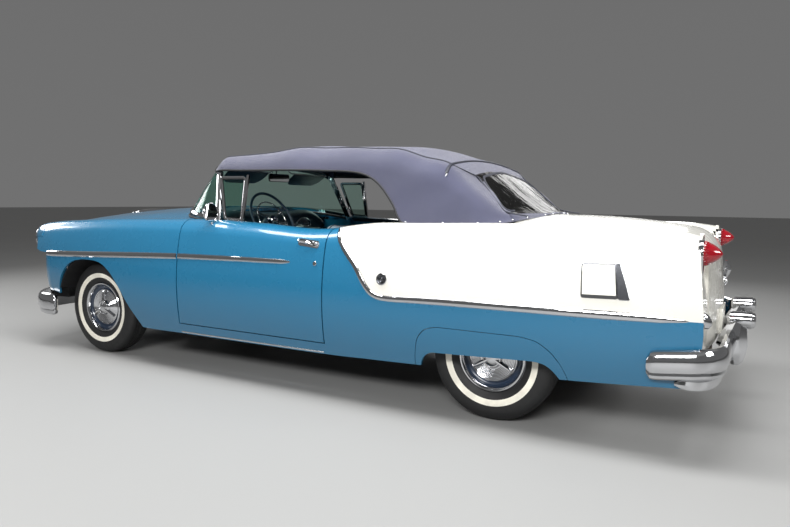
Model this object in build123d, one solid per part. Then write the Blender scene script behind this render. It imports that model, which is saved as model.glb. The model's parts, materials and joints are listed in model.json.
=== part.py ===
"""A full-size 1950s two-door convertible car with its fabric top raised.

Frame: +X points to the front bumper, +Y to the car's left side and +Z up. The origin is on the floor
under the middle of the car's length. All sizes are in millimetres.
"""
import os
from math import cos, hypot, radians, sin

from build123d import *

# Driving dimensions
WHEELBASE = 3099.0
FRONT_AXLE_X = 1727.0
REAR_AXLE_X = FRONT_AXLE_X - WHEELBASE
FRONT_TRACK = 1499.0
REAR_TRACK = 1473.0
TYRE_RADIUS = 345.0
TYRE_WIDTH = 190.0
RIM_RADIUS = 190.0
RIM_WIDTH = 150.0
COVER_RIDGES = (124.0, 62.0, 3.0)
COVER_RIDGE_COUNT = 6
PANEL_GAP = 8.0
SEAT_GAP = 0.3
RUNNING_GAP = 0.05
WALL = 18.0
SKIN = 20.0

# Seams between the panels, seen from the side
FENDER_SEAM_X = 798.0
DOOR_REAR_SEAM_X = -386.0
DOOR_BOTTOM_Z = 338.0
SILL_GAP = 6.0
NOSE_X = 2400.0
TAIL_X = -2400.0
COWL_SEAM_X = 1135.0
LID_FRONT_X = -1600.0
LID_HALF = 640.0
CANOPY_SHELF_X = -1400.0

# Door hinge
HINGE = (840.0, 924.0)
HINGE_HEIGHTS = (480.0, 765.0)
HINGE_PIN_RADIUS = 5.0
HINGE_BARREL_RADIUS = 8.0
HINGE_HEIGHT = 36.0
DOOR_INNER_Y = 842.0
SWEEP_MARGIN = 13.0
STRAP_DEPTH = 14.0
SWEEP_GAP = 2.0
DOGLEG_X = 530.0
DOGLEG_Y = 815.0

# Frame and floor
RAIL_WIDTH = 70.0
RAIL_HEIGHT = 90.0
FLOOR_Z = 340.0
FLOOR_THICKNESS = 12.0
FLOOR_HALF = 759.0
TRUNK_FLOOR_Z = 560.0
SEAT_PAN_Z = 480.0
AXLE_FLOOR_Z = 590.0
REAR_SEAT_STEP = (-790.0, -1180.0)
REAR_HOUSE_Y = 560.3
JACK_PADS = [(700.0, 527.0), (-800.0, 558.0)]
JACK_PAD_Z = 244.0
TUNNEL = (120.0, 468.0)
TUNNEL_WALL = 12.0
SHAFT_Z = TYRE_RADIUS
ENGINE_MOUNT_Z = 410.0
GEARBOX_MOUNT_Z = 330.0
EXHAUST_Z = 200.0
EXHAUST_Y = -335.0
PIPE_RADIUS = 24.0

# Number plate's bolts in the tail panel: half of each spacing, middle height and hole radius
PLATE_HALF_SPACING = (89.0, 60.0)
PLATE_Z = 540.0
PLATE_HOLE_RADIUS = 3.2

# Steering and suspension
KINGPIN_Y = 640.0
KINGPIN_RADIUS = 12.0
SPINDLE_RADIUS = 18.0
AXLE_RADIUS = 38.0
STEERING_RADIUS = 208.0
STEERING_CENTRE = (445.0, 390.0, 1028.0)
COLUMN_ANGLE = 27.0
COLUMN_LENGTH = 668.0
COLUMN_TOP = 60.0

# Outer side of the body. Each row is one station along X with the points of its outline as (y, z):
# x, sill, widest, shoulder, crest, inner edge
FENDER_STATIONS = [
    (NOSE_X, (866, 470), (893, 650), (868, 888), (790, 962), (656, 950)),
    (2250, (888, 456), (913, 648), (886, 895), (800, 977), (656, 966)),
    (2000, (905, 400), (931, 643), (902, 908), (806, 994), (656, 986)),
    (1700, (915, 340), (945, 638), (914, 926), (812, 1012), (662, 1005)),
    (1200, (925, 268), (960, 630), (922, 942), (828, 1026), (692, 1022)),
    (FENDER_SEAM_X, (930, 266), (968, 625), (926, 945), (848, 1029), (735, 1030)),
]
DOOR_STATIONS = [
    FENDER_STATIONS[-1],
    (200, (932, 266), (975, 620), (935, 934), (862, 1013), (752, 1016)),
    (DOOR_REAR_SEAM_X, (935, 268), (980, 616), (941, 914), (884, 992), (772, 999)),
]
QUARTER_STATIONS = [
    DOOR_STATIONS[-1],
    (-500, (936, 270), (981, 615), (939, 930), (880, 1022), (768, 1028)),
    (-650, (938, 275), (983, 615), (934, 955), (864, 1050), (752, 1056)),
    (-900, (940, 282), (985, 616), (930, 964), (852, 1057), (720, 1065)),
    (CANOPY_SHELF_X, (945, 300), (987, 620), (930, 966), (846, 1060), (LID_HALF, 1071)),
    (-1900, (940, 320), (980, 636), (926, 962), (840, 1050), (LID_HALF, 1058)),
    (-2200, (926, 336), (962, 648), (914, 950), (832, 1036), (LID_HALF, 1036)),
    (TAIL_X, (906, 345), (938, 652), (900, 932), (828, 1012), (LID_HALF, 1008)),
]

# Wheel openings and the slope of the tail, seen from the side as (x, z)
FRONT_ARCH = [
    (2126, 200), (2126, 454), (2085, 560), (2010, 645), (1915, 698), (1790, 716), (1650, 714),
    (1560, 692), (1470, 630), (1395, 545), (1300, 410), (1195, 290), (1130, 200),
]
SKIRT_SEAM = [
    (-978, 200), (-982, 330), (-1000, 440), (-1045, 495), (-1110, 514), (-1580, 514), (-1665, 498),
    (-1735, 450), (-1785, 385), (-1822, 300), (-1830, 200),
]
SKIRT_OPENING = [
    (-1010, 200), (-1016, 300), (-1040, 345), (-1080, 368), (-1640, 392), (-1700, 384), (-1745, 350),
    (-1790, 290), (-1800, 200),
]
SKIRT_GAP = 3.0
TAIL_FACE = [(-2362, 1120), (-2366, 950), (-2394, 700), (-2390, 600), (-2340, 420), (-2285, 200)]
NOSE_FACE = [(2415, 1120), (2415, 762), (2395, 740), (2292, 440)]
FACE_THICKNESS = 18.0

# Crowns of the panels that span the car. Each row: x, centre height, drop of the whole edge
HOOD_CROWN = [
    (COWL_SEAM_X + PANEL_GAP / 2, 1110, 0), (1200, 1107, 0), (1500, 1095, 0), (1700, 1082, 0), (2000, 1061, 0),
    (2250, 1034, 0), (2400, 996, 12), (2470, 955, 52), (2512, 906, 98), (2524, 872, 128),
]
COWL_CROWN = [
    (FENDER_SEAM_X, 1104, 0), (1000, 1108, 0), (COWL_SEAM_X - PANEL_GAP / 2, 1110, 0),
]
SHELF_CROWN = [
    (CANOPY_SHELF_X, 1106, 0), (LID_FRONT_X + PANEL_GAP / 2, 1101, 0),
]

# Trunk lid, cut lengthwise. Each row: y, then (x, z) of the front, middle, bend, tail and lower edge
LID_SECTIONS = [
    (632, (-1604, 1067), (-1950, 1056), (-2262, 1024), (-2398, 890), (-2412, 640)),
    (350, (-1604, 1091), (-1950, 1078), (-2272, 1042), (-2424, 893), (-2438, 640)),
    (0, (-1604, 1101), (-1950, 1087), (-2280, 1050), (-2434, 896), (-2450, 640)),
]

# Raised top. Each row: x, then (y, z) of the base, the lower side and the roof edge, and the centre height
TOP_STATIONS = [
    (782, (738, 1068), (690, 1362), (600, 1400), 1446),
    (740, (742, 1068), (698, 1366), (600, 1444), 1487),
    (600, (748, 1068), (706, 1372), (602, 1484), 1516),
    (0, (756, 1068), (716, 1378), (605, 1508), 1551),
    (-600, (760, 1068), (722, 1350), (606, 1486), 1535),
    (-940, (762, 1068), (722, 1265), (600, 1392), 1441),
    (-1110, (756, 1069), (722, 1185), (598, 1296), 1346),
    (-1280, (742, 1073), (710, 1112), (590, 1166), 1216),
    (-1400, (668, 1075), (640, 1094), (560, 1116), 1150),
    (-1463, (500, 1086), (475, 1099), (400, 1108), 1132),
    (-1496, (260, 1100), (240, 1108), (200, 1112), 1121),
]
TOP_THICKNESS = 8.0
BOW_THICKNESS = 16.0
SIDE_OPENING = [
    (900, 900), (900, 1340), (700, 1366), (470, 1363), (-25, 1360), (-220, 1344), (-327, 1321),
    (-560, 1215), (-817, 1062), (-817, 900),
]
RAIL_BAND = 26.0
WINDOW_OUTLINE = [(450, 1319), (0, 1358), (-450, 1319), (-480, 1128), (480, 1128)]
VINYL_THICKNESS = 4.0


def point(x, yz):
    """A point of a cross-section from its station and its (y, z)."""
    return Vector(x, yz[0], yz[1])


def lines(points):
    """The straight edges through a list of points."""
    return [Edge.make_line(a, b) for a, b in zip(points, points[1:])]


def side_arcs(x, sill, widest, shoulder, crest, inner):
    """The three tangent arcs of the outer skin at one station, from the sill to the inner edge."""
    flank = Edge.make_three_point_arc(point(x, sill), point(x, widest), point(x, shoulder))
    bend = Edge.make_tangent_arc(point(x, shoulder), flank % 1, point(x, crest))
    crown = Edge.make_tangent_arc(point(x, crest), bend % 1, point(x, inner))
    return [flank, bend, crown]


def side_wall(stations, wall=WALL):
    """One side of the body as a wall that is open towards the middle, lofted along X."""
    wires = []
    for x, sill, widest, shoulder, crest, inner in stations:
        edges = side_arcs(x, sill, widest, shoulder, crest, inner)
        under_shoulder = Vector(x, shoulder[0] - wall, shoulder[1] - 8)
        inner_sill = Vector(x, sill[0] - wall, sill[1])
        edges += lines([point(x, inner), Vector(x, inner[0], inner[1] - SKIN),
                        Vector(x, crest[0] - 14, crest[1] - SKIN - 2), under_shoulder])
        edges.append(Edge.make_three_point_arc(under_shoulder, Vector(x, widest[0] - wall, widest[1]), inner_sill))
        edges.append(Edge.make_line(inner_sill, point(x, sill)))
        wires.append(Wire(edges))
    return Solid.make_loft(wires)


def side_block(stations, corners):
    """One side of the body as a filled block. corners gives the points of its inner side at a station."""
    wires = []
    for row in stations:
        x, sill = row[0], row[1]
        edges = side_arcs(*row)
        edges += lines([point(x, row[5])] + [point(x, yz) for yz in corners(row)] + [point(x, sill)])
        wires.append(Wire(edges))
    return Solid.make_loft(wires)


def upright_corners(row):
    """Inner side of a filled block that drops straight from the inner edge to the sill."""
    return [(row[5][0], row[1][1])]


def prism(points, axis, low, high):
    """A prism between two positions on an axis: outlines are (x, z) for Y, (x, y) for Z, (y, z) for X."""
    place = {"X": lambda a, b: Vector(low, a, b), "Y": lambda a, b: Vector(a, low, b),
             "Z": lambda a, b: Vector(a, b, low)}[axis]
    span = {"X": Vector(1, 0, 0), "Y": Vector(0, 1, 0), "Z": Vector(0, 0, 1)}[axis] * (high - low)
    return Solid.extrude(Face(Wire.make_polygon([place(a, b) for a, b in points], close=True)), span)


def side_prism(points):
    """A prism through the left side of the car from an outline in (x, z)."""
    return prism(points, "Y", 500, 1100)


def band(points, thickness):
    """A closed outline made of a route and the same route moved along X."""
    return points + [(x + thickness, z) for x, z in reversed(points)]


def block(x, y, z):
    """A box from three (low, high) ranges."""
    return Pos(x[0], y[0], z[0]) * Solid.make_box(x[1] - x[0], y[1] - y[0], z[1] - z[0])


def rod(start, end, radius):
    """A round bar between two points."""
    a, b = Vector(*start), Vector(*end)
    return Solid.make_cylinder(radius, (b - a).length, Plane(origin=a, z_dir=b - a))


def turned(profile, centre, axis=(0, 1, 0)):
    """A ring or disc from (distance along the axis, radius) points, turned about an axis of the car."""
    along, out = Vector(*axis), Vector(0, 0, 1)
    points = [Vector(*centre) + along * a + out * r for a, r in profile]
    face = Face(Wire.make_polygon(points, close=True))
    return Solid.revolve(face, 360, Axis(centre, axis))


def mirrored(shape):
    """The same piece on the car's right side."""
    return shape.mirror(Plane.XZ)


def both(shape):
    """A piece and its mirror image, fused where they meet."""
    return shape + mirrored(shape)


def pair(shape):
    """A piece and its mirror image, kept as separate solids."""
    return Compound(shape.solids() + mirrored(shape).solids())


def biggest(shape):
    """The largest solid of a shape."""
    return max(shape.solids(), key=lambda solid: solid.volume)


def lowered(shape, gap=SEAT_GAP):
    """The same shape moved down by a clearance."""
    return shape.moved(Location((0, 0, -gap)))


def save(name, shape):
    """Writes one sub-part as parts/NAME.step."""
    solids = shape.solids()
    export_step(solids[0] if len(solids) == 1 else Compound(solids), f"parts/{name}.step")


def at_station(stations, x, column):
    """A (y, z) of a table of stations, worked out between its rows."""
    for a, b in zip(stations, stations[1:]):
        if min(a[0], b[0]) <= x <= max(a[0], b[0]):
            share = (x - a[0]) / (b[0] - a[0])
            return tuple(p + (q - p) * share for p, q in zip(a[column], b[column]))
    nearest = min(stations, key=lambda row: abs(row[0] - x))
    return nearest[column]


def crowned(crown, stations, gap, thickness=SKIN):
    """A panel that spans the car between the inner edges of its sides, lofted along X."""
    wires = []
    for x, centre_z, drop in crown:
        half, edge_z = at_station(stations, x, 5)
        half, edge_z = half - gap, edge_z - drop
        down = Vector(0, 0, -thickness)
        left, middle, right = Vector(x, half, edge_z), Vector(x, 0, centre_z), Vector(x, -half, edge_z)
        top = Edge.make_three_point_arc(left, middle, right)
        under = Edge.make_three_point_arc(right + down, middle + down, left + down)
        wires.append(Wire([top, Edge.make_line(right, right + down), under, Edge.make_line(left + down, left)]))
    return Solid.make_loft(wires)


# Body sides
NOSE_END_X = 2512.0
POD_STATIONS = [
    # x, inner y, outer y, low z, high z of the rounded front of the fender
    (NOSE_X - 30, 662, 888, 744, 961), (2450, 662, 874, 744, 957), (2490, 666, 858, 750, 948),
    (NOSE_END_X, 676, 838, 762, 934),
]

# Grille: width and height of its opening, its middle height and corner share; bars as commented
GRILLE_SIZE = (1120.0, 220.0)
GRILLE_Z = 670.0
GRILLE_CORNER = 0.32
GRILLE_UPRIGHTS = 10
GRILLE_BARS = [
    # height, half height, half depth, x at its ends, how far its middle bows out
    (612, 8, 10, 2446, 8), (GRILLE_Z, 17, 24, 2444, 30), (728, 8, 10, 2446, 8),
]

# Bumpers. Bars are arcs through (height, outwards); guards are sections as commented
REAR_BAR = [(70, -6), (56, 20), (14, 29), (-8, 29), (-26, 23), (-54, 18), (-70, -6), (0, 13), (70, -6)]
FRONT_BAR = [(height * 1.18, out) for height, out in REAR_BAR]
LOWER_BAR = [(30, -6), (22, 14), (4, 21), (-16, 16), (-28, -6), (0, 6), (30, -6)]
REAR_GUARD = [
    # height, x of the centre, half depth, half width
    (352, -2556, 18, 30), (372, -2560, 34, 48), (430, -2556, 44, 60), (500, -2550, 44, 58), (560, -2546, 38, 50),
    (596, -2544, 26, 40), (612, -2540, 10, 26),
]
FRONT_GUARD = [
    # height, how far out, half depth, half width
    (262, 0, 14, 26), (290, 4, 28, 40), (350, 6, 38, 46), (410, 6, 36, 44), (450, 2, 24, 34), (470, 0, 8, 18),
]


def make_headlamp_pod():
    """The rounded front of the fender, around its headlamp."""
    wires = []
    for x, inner, outer, low, high in POD_STATIONS:
        foot, shoulder, top = (inner + 30, low), (outer - 20, high - 36), (inner, high - 14)
        wires.append(Wire([
            Edge.make_three_point_arc(point(x, foot), point(x, (outer - 2, (low + high) / 2 - 30)), point(x, shoulder)),
            Edge.make_three_point_arc(point(x, shoulder), point(x, ((inner + outer) / 2 + 30, high)), point(x, top)),
            Edge.make_line(point(x, top), point(x, foot)),
        ]))
    return Solid.make_loft(wires)


def make_front_fender():
    wall = side_wall(FENDER_STATIONS)
    filled = side_block(FENDER_STATIONS, upright_corners)
    nose_cut = side_prism(NOSE_FACE + [(2600, 440), (2600, 1120)])
    seam = FENDER_SEAM_X + PANEL_GAP / 2
    seam_cut = side_prism([(seam - 100, 100), (seam, 100), (seam, 1200), (seam - 100, 1200)])
    face = (filled & side_prism(band(NOSE_FACE, -FACE_THICKNESS))) - block((2200, 2450), (500, 1000), (900, 1100))
    return biggest((wall - nose_cut - side_prism(FRONT_ARCH) - seam_cut) + face + make_headlamp_pod())


def make_quarter():
    wall = side_wall(QUARTER_STATIONS)
    filled = side_block(QUARTER_STATIONS, upright_corners)
    tail_cut = side_prism(TAIL_FACE + [(-2600, 200), (-2600, 1120)])
    seam = DOOR_REAR_SEAM_X - PANEL_GAP / 2
    seam_cut = side_prism([(seam, 100), (seam + 100, 100), (seam + 100, 1200), (seam, 1200)])
    lid_cut = block((-2600, LID_FRONT_X), (0, LID_HALF + PANEL_GAP), (600, 1200))
    lid_cut = lid_cut + block((LID_FRONT_X - 1, CANOPY_SHELF_X), (0, LID_HALF), (600, 1200))
    tail = filled & side_prism(band(TAIL_FACE, FACE_THICKNESS))
    jamb = filled & block((seam - 14, seam), (790, 1000), (330, 990))
    cheek_y = LID_HALF + PANEL_GAP
    cheek = filled & (block((-2395, -2150), (cheek_y, cheek_y + FACE_THICKNESS), (TRUNK_FLOOR_Z, 1100))
                      + block((-2151, LID_FRONT_X), (cheek_y, cheek_y + FACE_THICKNESS), (980, 1100)))
    cheek = cheek - tail_cut
    solid = (wall - tail_cut - side_prism(SKIRT_SEAM) - seam_cut - lid_cut)
    return biggest(solid + (tail - lid_cut) + jamb + (cheek - lid_cut))


def make_fender_skirt():
    wall = side_wall(QUARTER_STATIONS)
    middle_x = (SKIRT_SEAM[0][0] + SKIRT_SEAM[-1][0]) / 2
    inset = [(x + (SKIRT_GAP if x < middle_x else -SKIRT_GAP), z - (SKIRT_GAP if z > 400 else 0))
             for x, z in SKIRT_SEAM]
    hanger = block((-1420, -1320), (880, 955), (470, 500))
    skin = biggest((wall & side_prism(inset)) - side_prism(SKIRT_OPENING))
    return biggest(skin + (hanger - make_outer_keep()))


def make_outer_keep():
    """Everything outside the body's side, used to trim brackets behind the skin."""
    filled = side_block(QUARTER_STATIONS, upright_corners)
    return block((TAIL_X, -500), (700, 1100), (250, 1000)) - filled


def door_corners(row):
    """Inner side of a door section."""
    inner, sill = row[5], row[1]
    return [(inner[0] + 35, inner[1] - 12), (DOOR_INNER_Y, 700), (DOOR_INNER_Y, sill[1])]


def hinge_sweep():
    """The space that the fender's rear edge needs in front of the door as it turns on its hinge."""
    seam = FENDER_SEAM_X - PANEL_GAP / 2
    reach = HINGE[0] - seam + SWEEP_GAP
    flank = side_arcs(seam, *DOOR_STATIONS[0][1:])[0]
    bulge = [(flank @ (step / 12)) for step in range(13)]
    profile = [(hypot(reach, p.Y - HINGE[1]), p.Z) for p in bulge if p.Y - HINGE[1] > SWEEP_MARGIN]
    inside = reach - 12
    profile = [(inside, profile[0][1])] + profile + [(inside, profile[-1][1])]
    points = [Vector(HINGE[0] - radius, HINGE[1], z) for radius, z in profile]
    points = [Vector(HINGE[0], HINGE[1], points[0].Z)] + points + [Vector(HINGE[0], HINGE[1], points[-1].Z)]
    return Solid.revolve(Face(Wire.make_polygon(points, close=True)), 360, Axis((HINGE[0], HINGE[1], 0), (0, 0, 1)))


def strap_outline():
    """The gooseneck hinge strap seen from above, from the pin inwards and back to the door's front face."""
    x, y = HINGE
    face_x = FENDER_SEAM_X - PANEL_GAP / 2 - STRAP_DEPTH
    return [(x - 6, y - 3), (x - 12, y - 46), (face_x, y - 52), (face_x, y - 76), (x + 10, y - 60), (x + 6, y - 5)]


def make_door():
    """A whole door: its outer skin, its thickness and its inner face, with no window frame."""
    solid = side_block(DOOR_STATIONS, door_corners)
    front, rear = FENDER_SEAM_X - PANEL_GAP / 2, DOOR_REAR_SEAM_X + PANEL_GAP / 2
    solid = solid & side_prism([(front, DOOR_BOTTOM_Z), (front, 1200), (rear, 1200), (rear, DOOR_BOTTOM_Z)])
    solid = solid - prism([(rear - 20, 600), (rear - 20, 890), (rear, 890), (rear + 18, 600)], "Z", 200, 1200)
    solid = solid - hinge_sweep()
    solid = solid - block((DOGLEG_X - 12, 900), (700, DOGLEG_Y + 12), (858, 1100))
    for z in HINGE_HEIGHTS:
        low = z - HINGE_HEIGHT / 2
        solid = solid + prism(strap_outline(), "Z", low, low + HINGE_HEIGHT)
        solid = solid + rod((*HINGE, low), (*HINGE, low + HINGE_HEIGHT), HINGE_BARREL_RADIUS)
        solid = solid - rod((*HINGE, low - 1), (*HINGE, low + HINGE_HEIGHT + 1), HINGE_PIN_RADIUS + RUNNING_GAP)
    return biggest(solid)


def make_sill():
    """The panel below the door, with a flange that carries the floor's edge."""
    wires = []
    for row in DOOR_STATIONS:
        x, sill, shoulder = row[0], row[1], row[3]
        flank = side_arcs(*row)[0]
        wires.append(Wire([flank] + lines([point(x, shoulder), Vector(x, 780, shoulder[1]), Vector(x, 780, sill[1]),
                                           point(x, sill)])))
    top = DOOR_BOTTOM_Z - SILL_GAP
    front, rear = FENDER_SEAM_X + PANEL_GAP / 2, DOOR_REAR_SEAM_X - PANEL_GAP / 2
    panel = Solid.make_loft(wires) & side_prism([(front, 100), (front, top), (rear, top), (rear, 100)])
    flange_y = FLOOR_HALF + SEAT_GAP
    flange = block((rear, front), (flange_y, flange_y + 40), (300, FLOOR_Z + FLOOR_THICKNESS))
    return biggest(panel + flange)


# Panels across the car
def make_hood():
    return crowned(HOOD_CROWN, FENDER_STATIONS, PANEL_GAP)


def cowl_skin(thickness):
    """The panel between the hood and the windshield before its sides are trimmed to the fenders."""
    return crowned(COWL_CROWN, FENDER_STATIONS, -20, thickness)


def make_cowl():
    """The panel below the windshield, the firewall, the hinge pillars with their pins and the floor's posts."""
    side = side_block(FENDER_STATIONS, upright_corners).moved(Location((0, -SEAT_GAP, 0)))
    top = cowl_skin(SKIN) - side - mirrored(side)
    firewall = block((1142, 1156), (-660, 660), (FLOOR_Z + 180, 1085)) & prism(
        [(-660, 500), (660, 500), (660, 1018), (350, 1060), (0, 1082), (-350, 1060), (-660, 1018)], "X", 1100, 1200)
    firewall = firewall.moved(Location((-30, 0, 0)))
    pillar = block((870, 920), (780, 903), (FLOOR_Z, 880))
    dogleg = block((DOGLEG_X, 930), (765, DOGLEG_Y), (870, 1000))
    pillar = pillar + dogleg + block((880, 1120), (760, 790), (FLOOR_Z, 996))
    pillar = pillar + block((1090, 1120), (650, 790), (628, 996))
    for z in HINGE_HEIGHTS:
        for side in (-1, 1):
            start = z + side * (HINGE_HEIGHT / 2 + SEAT_GAP)
            levels = tuple(sorted((start, start + side * 8)))
            ear = prism([(HINGE[0] - 4, HINGE[1] - 7), (HINGE[0] + 2, HINGE[1] + 7), (900, 898), (875, 880)], "Z", *levels)
            ear = ear + rod((*HINGE, start), (*HINGE, start + side * 8), HINGE_BARREL_RADIUS)
            pillar = pillar + ear
        reach = HINGE_HEIGHT / 2 + 8
        pillar = pillar + rod((*HINGE, z - reach), (*HINGE, z + reach), HINGE_PIN_RADIUS)
    seal = block((1120, 1160), (-640, 640), (990, 1120)) & crowned(HOOD_CROWN, FENDER_STATIONS, 60, 70)
    seal = seal - lowered(make_hood())
    return biggest(top + firewall + biggest(seal) + both(pillar))


def make_deck_panel():
    """The narrow panel between the top and the trunk lid, with the ledge that the closed lid rests on."""
    top = crowned(SHELF_CROWN, QUARTER_STATIONS, SEAT_GAP)
    ledge = crowned([(-1570, 1104, 0), (-1630, 1100, 0)], QUARTER_STATIONS, 40, 16)
    ledge = lowered(ledge, SKIN - 4) - lowered(make_trunk_lid())
    return biggest(top + ledge)


def lid_section(y, front, middle, bend, tail, lower):
    at = lambda xz, dx=0, dz=0: Vector(xz[0] + dx, y, xz[1] + dz)
    deck = Edge.make_three_point_arc(at(front), at(middle), at(bend))
    corner = Edge.make_tangent_arc(at(bend), deck % 1, at(tail))
    inner = [at(lower, SKIN), at(tail, SKIN), at(bend, 6, -SKIN - 2), at(middle, 0, -SKIN), at(front, 0, -SKIN)]
    edges = [deck, corner, Edge.make_line(at(tail), at(lower)), Edge.make_line(at(lower), inner[0])]
    edges += lines(inner) + [Edge.make_line(inner[-1], at(front))]
    return Wire(edges)


def make_trunk_lid():
    sections = LID_SECTIONS + [(-row[0], *row[1:]) for row in reversed(LID_SECTIONS[:-1])]
    return Solid.make_loft([lid_section(*row) for row in sections])


def make_tail_panel():
    """The rear wall below the trunk lid, with the number plate's four bolt holes."""
    half = LID_HALF - SEAT_GAP
    outer = [(-2394, half), (-2420, 350), (-2432, 0), (-2420, -350), (-2394, -half)]
    plan = outer + [(x + FACE_THICKNESS, y) for x, y in reversed(outer)]
    panel = prism(plan, "Z", 470, 632)
    plate = block((-2446, -2420), (-160, 160), (472, 612))
    panel = panel + plate
    for side in (-1, 1):
        for level in (-1, 1):
            y, z = side * PLATE_HALF_SPACING[0], PLATE_Z + level * PLATE_HALF_SPACING[1]
            panel = panel - rod((-2500, y, z), (-2400, y, z), PLATE_HOLE_RADIUS)
    return biggest(panel)


def make_nose_panel():
    """The panel around the grille, between the fenders and below the hood."""
    outer = [(2392, 640), (2440, 560), (2452, 0), (2440, -560), (2392, -640)]
    plan = outer + [(x - FACE_THICKNESS, y) for x, y in reversed(outer)]
    panel = prism(plan, "Z", 450, 850)
    return biggest(panel - grille_prism(GRILLE_SIZE, 2300, 2600))


def grille_prism(size, low, high):
    """The rounded outline of the grille's opening as a prism along X."""
    middle = Plane(origin=(low, 0, GRILLE_Z), x_dir=(0, 1, 0), z_dir=(1, 0, 0))
    return extrude(middle * RectangleRounded(size[0], size[1], size[1] * GRILLE_CORNER), high - low)


def make_grille():
    """The surround in the nose panel's opening, with a bowed main bar, two thin bars and a row of uprights."""
    size = tuple(length - 2 * SEAT_GAP for length in GRILLE_SIZE)
    bore = tuple(length - 24 for length in size)
    grille = grille_prism(size, 2434, 2462) - grille_prism(bore, 2400, 2500)
    reach = bore[0] / 2 + 6
    for z, half_height, half_depth, x, bow in GRILLE_BARS:
        wires = []
        for share in (-1, -0.5, 0, 0.5, 1):
            centre = Vector(x + bow * (1 - share * share), share * reach, z)
            around = [(-0.5, -1), (0.5, -1), (1, 0), (0.5, 1), (-0.5, 1), (-1, 0)]
            wires.append(Wire.make_polygon([centre + Vector(a * half_depth, 0, b * half_height) for a, b in around],
                                           close=True))
        grille = grille + Solid.make_loft(wires, ruled=True)
    for step in range(-GRILLE_UPRIGHTS, GRILLE_UPRIGHTS + 1):
        y = step * reach / (GRILLE_UPRIGHTS + 1)
        reach_z = bore[1] / 2 + (4 if abs(step) < GRILLE_UPRIGHTS else -8)
        grille = grille + block((2438, 2446), (y - 3, y + 3), (GRILLE_Z - reach_z, GRILLE_Z + reach_z))
    return biggest(grille)


def bumper(route, side, profile, z):
    """A pressed bar, hollow behind, from a table of arcs (height, outwards), along a route seen from above."""
    start = route @ 0
    plane = Plane(origin=(start.X, start.Y, z), x_dir=(0, 0, 1), z_dir=route % 0)
    spots = [plane.from_local_coords(Vector(height, side * out, 0)) for height, out in profile]
    edges = [Edge.make_three_point_arc(*spots[i:i + 3]) for i in range(0, len(spots) - 2, 2)]
    return sweep(Face(Wire(edges)), route.moved(Location((0, 0, z))))


def oval_loft(rows, squareness=0.7):
    """A block through flat eight-sided sections. Each row: height, (x, y) of its centre, half depth and width."""
    wires = []
    for z, (x, y), depth, width in rows:
        corners = [(-1, -squareness), (-1, squareness), (-squareness, 1), (squareness, 1), (1, squareness),
                   (1, -squareness), (squareness, -1), (-squareness, -1)]
        wires.append(Wire.make_polygon([Vector(x + depth * a, y + width * b, z) for a, b in corners], close=True))
    return Solid.make_loft(wires, ruled=True)


def bumper_route(points, radii):
    """A route seen from above through the left half's points, mirrored to the right."""
    whole = points + [(x, -y) for x, y in reversed(points)]
    return FilletPolyline(*[(x, y, 0) for x, y in whole], radius=radii + radii[::-1]).wire()


def make_front_bumper():
    """The front bar with its two guards."""
    route = bumper_route([(2120, 935), (2330, 925), (2520, 760), (2562, 200)], [240, 140, 700])
    bar = bumper(route, -1, FRONT_BAR, 345)
    guard = oval_loft([(z, (2562 + out, 330), depth, width) for z, out, depth, width in FRONT_GUARD])
    brackets = both(block((2400 + SEAT_GAP, 2566), (380, 420), (320, 370)))
    return biggest(bar + both(guard) + brackets)


def make_rear_bumper():
    """The rear bar with the lower bar behind it and two tall guards with round pods."""
    route = bumper_route([(-2190, 972), (-2410, 966), (-2545, 780), (-2568, 200)], [170, 120, 700])
    lower_route = bumper_route([(-2300, 940), (-2420, 930), (-2515, 760), (-2535, 200)], [150, 110, 600])
    bar = bumper(route, 1, REAR_BAR, 455) + bumper(lower_route, 1, LOWER_BAR, 372)
    guard = oval_loft([(z, (x, 300), depth, width) for z, x, depth, width in REAR_GUARD])
    pod = turned([(-20, 0), (-20, 30), (0, 36), (28, 38), (45, 34), (54, 24), (58, 0)], (-2548, 300, 584), (-1, 0, 0))
    brackets = both(block((-2560, -2350 - SEAT_GAP), (480, 520), (400, 450)))
    return biggest(bar + both(guard + pod) + brackets)


def make_headlamps():
    """The lens and the rim round it, on the rounded end of each fender."""
    centre = (NOSE_END_X + SEAT_GAP, 757, 848)
    rim = [(0, 0), (0, 90), (6, 96), (14, 97), (20, 92), (18, 86), (24, 66), (30, 36), (32, 0)]
    return pair(turned(rim, centre, (1, 0, 0)))


def make_tail_lamps():
    """The bullet lens in its bezel, whose tail runs down the panel behind it."""
    centre = (-2350, 829, 942)
    bullet = [(0, 0), (0, 66), (26, 68), (34, 66), (50, 58), (68, 45), (84, 30), (94, 16), (99, 0)]
    lens = turned(bullet, centre, (-1, 0, 0))
    bezel = turned([(0, 0), (0, 72), (26, 72), (32, 68), (32, 0)], centre, (-1, 0, 0))
    y, z = centre[1:]
    foot = prism([(y - 60, z - 12), (y + 60, z - 12), (y + 30, z - 100), (y - 30, z - 100)], "X", -2392, -2350)
    behind = side_prism([(x - SEAT_GAP, z) for x, z in TAIL_FACE] + [(-2200, 200), (-2200, 1120)])
    return pair(biggest((lens + bezel + foot) - behind))


# Windshield
GLASS_BASE = [(575, 798), (830, 762), (1000, 560), (1075, 0)]
GLASS_HEAD = [(672, 668), (712, 622), (735, 440), (760, 0)]
GLASS_BASE_PLANE = (1028, 0.124)
GLASS_HEAD_PLANE = (1362, 0.795)
NORMALS = [(0.05, 1.0), (0.43, 0.90), (0.965, 0.264), (1.0, 0.0)]


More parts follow.
